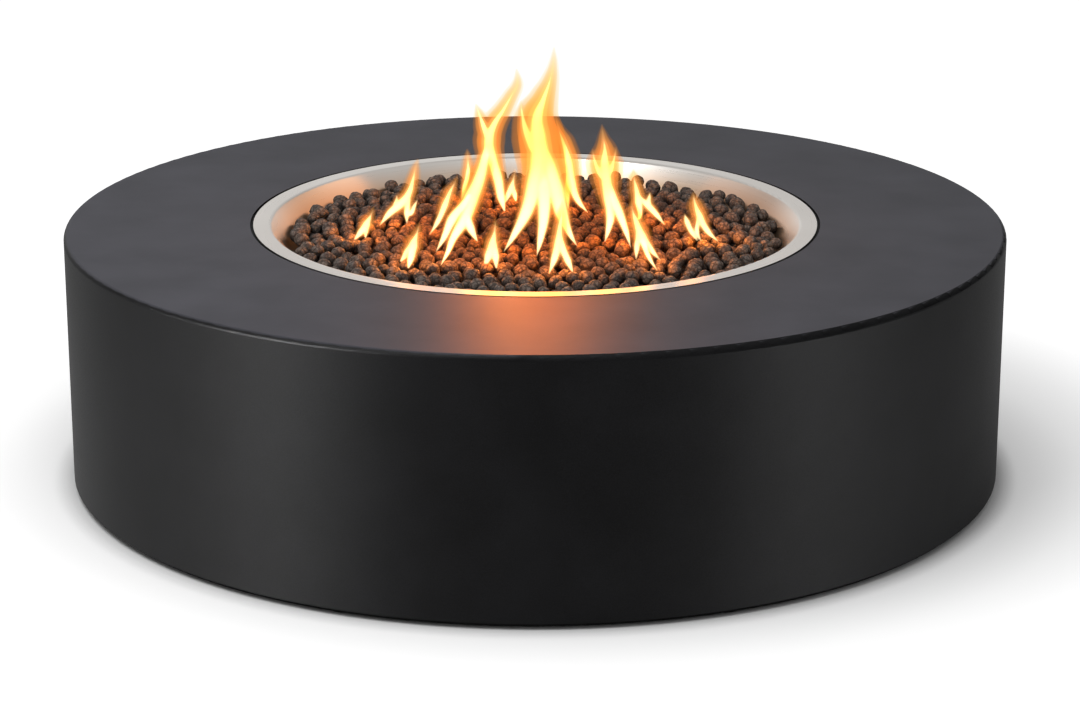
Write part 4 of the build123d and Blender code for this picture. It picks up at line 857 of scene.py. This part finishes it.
world = bpy.data.worlds.new("studio")
bpy.context.scene.world = world
world.use_nodes = True
tree = world.node_tree
path = add(tree, "LightPath").outputs
way = add(tree, "SeparateXYZ", {"Vector": add(tree, "TexCoord").outputs["Generated"]})
backdrop = add(tree, "MapRange",
               {"Value": way.outputs["Y"], 1: BACKDROP_Y[0], 2: BACKDROP_Y[1], 3: GLOSS_FRONT, 4: GLOSS_BACK},
               interpolation_type="SMOOTHSTEP")
ceiling = add(tree, "MapRange",
              {"Value": way.outputs["Z"], 1: CEILING_Z[0], 2: CEILING_Z[1], 3: GLOSS_FRONT, 4: GLOSS_CEILING},
              interpolation_type="SMOOTHSTEP")
side = add(tree, "MapRange",
           {"Value": way.outputs["X"], 1: SIDE_X[0], 2: SIDE_X[1], 3: GLOSS_LEFT, 4: GLOSS_RIGHT})
behind = add(tree, "Math", {0: backdrop.outputs[0], 1: side.outputs[0]}, operation="MULTIPLY")
mirror = add(tree, "Math", {0: behind.outputs[0], 1: ceiling.outputs[0]}, operation="MAXIMUM")
through = add(tree, "Math", {0: path["Is Glossy Ray"], 1: path["Is Transmission Ray"]},
              operation="MAXIMUM")
soft = add(tree, "Mix", {"Factor": through.outputs[0], 2: WORLD_LIGHT, 3: mirror.outputs[0]})
level = add(tree, "Mix", {"Factor": path["Is Camera Ray"], 2: soft.outputs[0], 3: 1.0})
tree.links.new(level.outputs[0], tree.nodes["Background"].inputs["Strength"])
tree.nodes["Background"].inputs["Color"].default_value = (1, 1, 1, 1)
print("world light:", WORLD_LIGHT)

# %% [markdown]
# A satin black wall shows light only as soft upright bands. Two strips draw them, one on the left and a
# weaker one on the right. They light only the gloss of the wall, and the left one also draws a thin line on
# the deck's edge, so that they don't wash out the floor. A grid in front of each keeps its light in one
# direction: without it, the wall glares white where it is seen at a grazing angle from the side. A broad
# soft box above the front left lights the stones and the pan's far wall, and it is near enough for the deck
# to darken slowly towards the far right.

# %% Studio lamps
def soft_box(name, spot, aim, width, height, watts):
    """A flat soft lamp, turned to face a point."""
    lamp = bpy.data.lights.new(name, "AREA")
    lamp.shape = "RECTANGLE"
    lamp.size = width
    lamp.size_y = height
    lamp.energy = watts
    holder = bpy.data.objects.new(name, lamp)
    holder.location = spot
    holder.rotation_euler = (Vector(aim) - Vector(spot)).to_track_quat("-Z", "Y").to_euler()
    bpy.context.collection.objects.link(holder)
    return holder


# strip: solids it lights, place, point it faces, width and height, all in metres, and watts
GLOSS_STRIPS = {
    "left_strip": (("drum_wall", "deck_plate"), (-2.05, -1.40, 0.45), (-0.44, -0.40, 0.2), 0.6, 0.9, 4.9),
    "right_strip": (("drum_wall",), (2.1, -1.35, 0.45), (0.35, -0.45, 0.2), 0.4, 0.9, 1.8),
}
GRID_SPREAD = math.radians(10)
KEY_SPOT = (-0.8, -1.0, 2.0)
KEY_AIM = (0, 0, 0.3)
KEY_SIDE = 1.5
KEY_WATTS = 24

for name, (nodes, spot, aim, width, height, watts) in GLOSS_STRIPS.items():
    strip = soft_box(name, spot, aim, width, height, watts)
    strip.data.spread = GRID_SPREAD
    strip.visible_diffuse = False
    strip.light_linking.receiver_collection = only(*nodes)
soft_box("key_box", KEY_SPOT, KEY_AIM, KEY_SIDE, KEY_SIDE, KEY_WATTS)
print("studio lamps:", len(GLOSS_STRIPS) + 1)

# %% [markdown]
# The camera stands in front and a little above, at the photograph's view. Its place was found by fitting
# the ellipses of the deck's edge, the wall's foot and the pan's flange.

# %% Camera
LENS = 103.33
ELEVATION = math.radians(17.26)
AIM = Vector((0.0063, 0, 0.1365))
DISTANCE = 4.107

lens = bpy.data.cameras.new("camera")
lens.sensor_width = 36
lens.lens = LENS
camera = bpy.data.objects.new("camera", lens)
look = Vector((0, math.cos(ELEVATION), -math.sin(ELEVATION)))
camera.location = AIM - look * DISTANCE
camera.rotation_euler = look.to_track_quat("-Z", "Y").to_euler()
bpy.context.collection.objects.link(camera)
bpy.context.scene.camera = camera
bpy.context.scene.view_settings.view_transform = "Standard"
print("camera at", [round(value, 3) for value in camera.location])
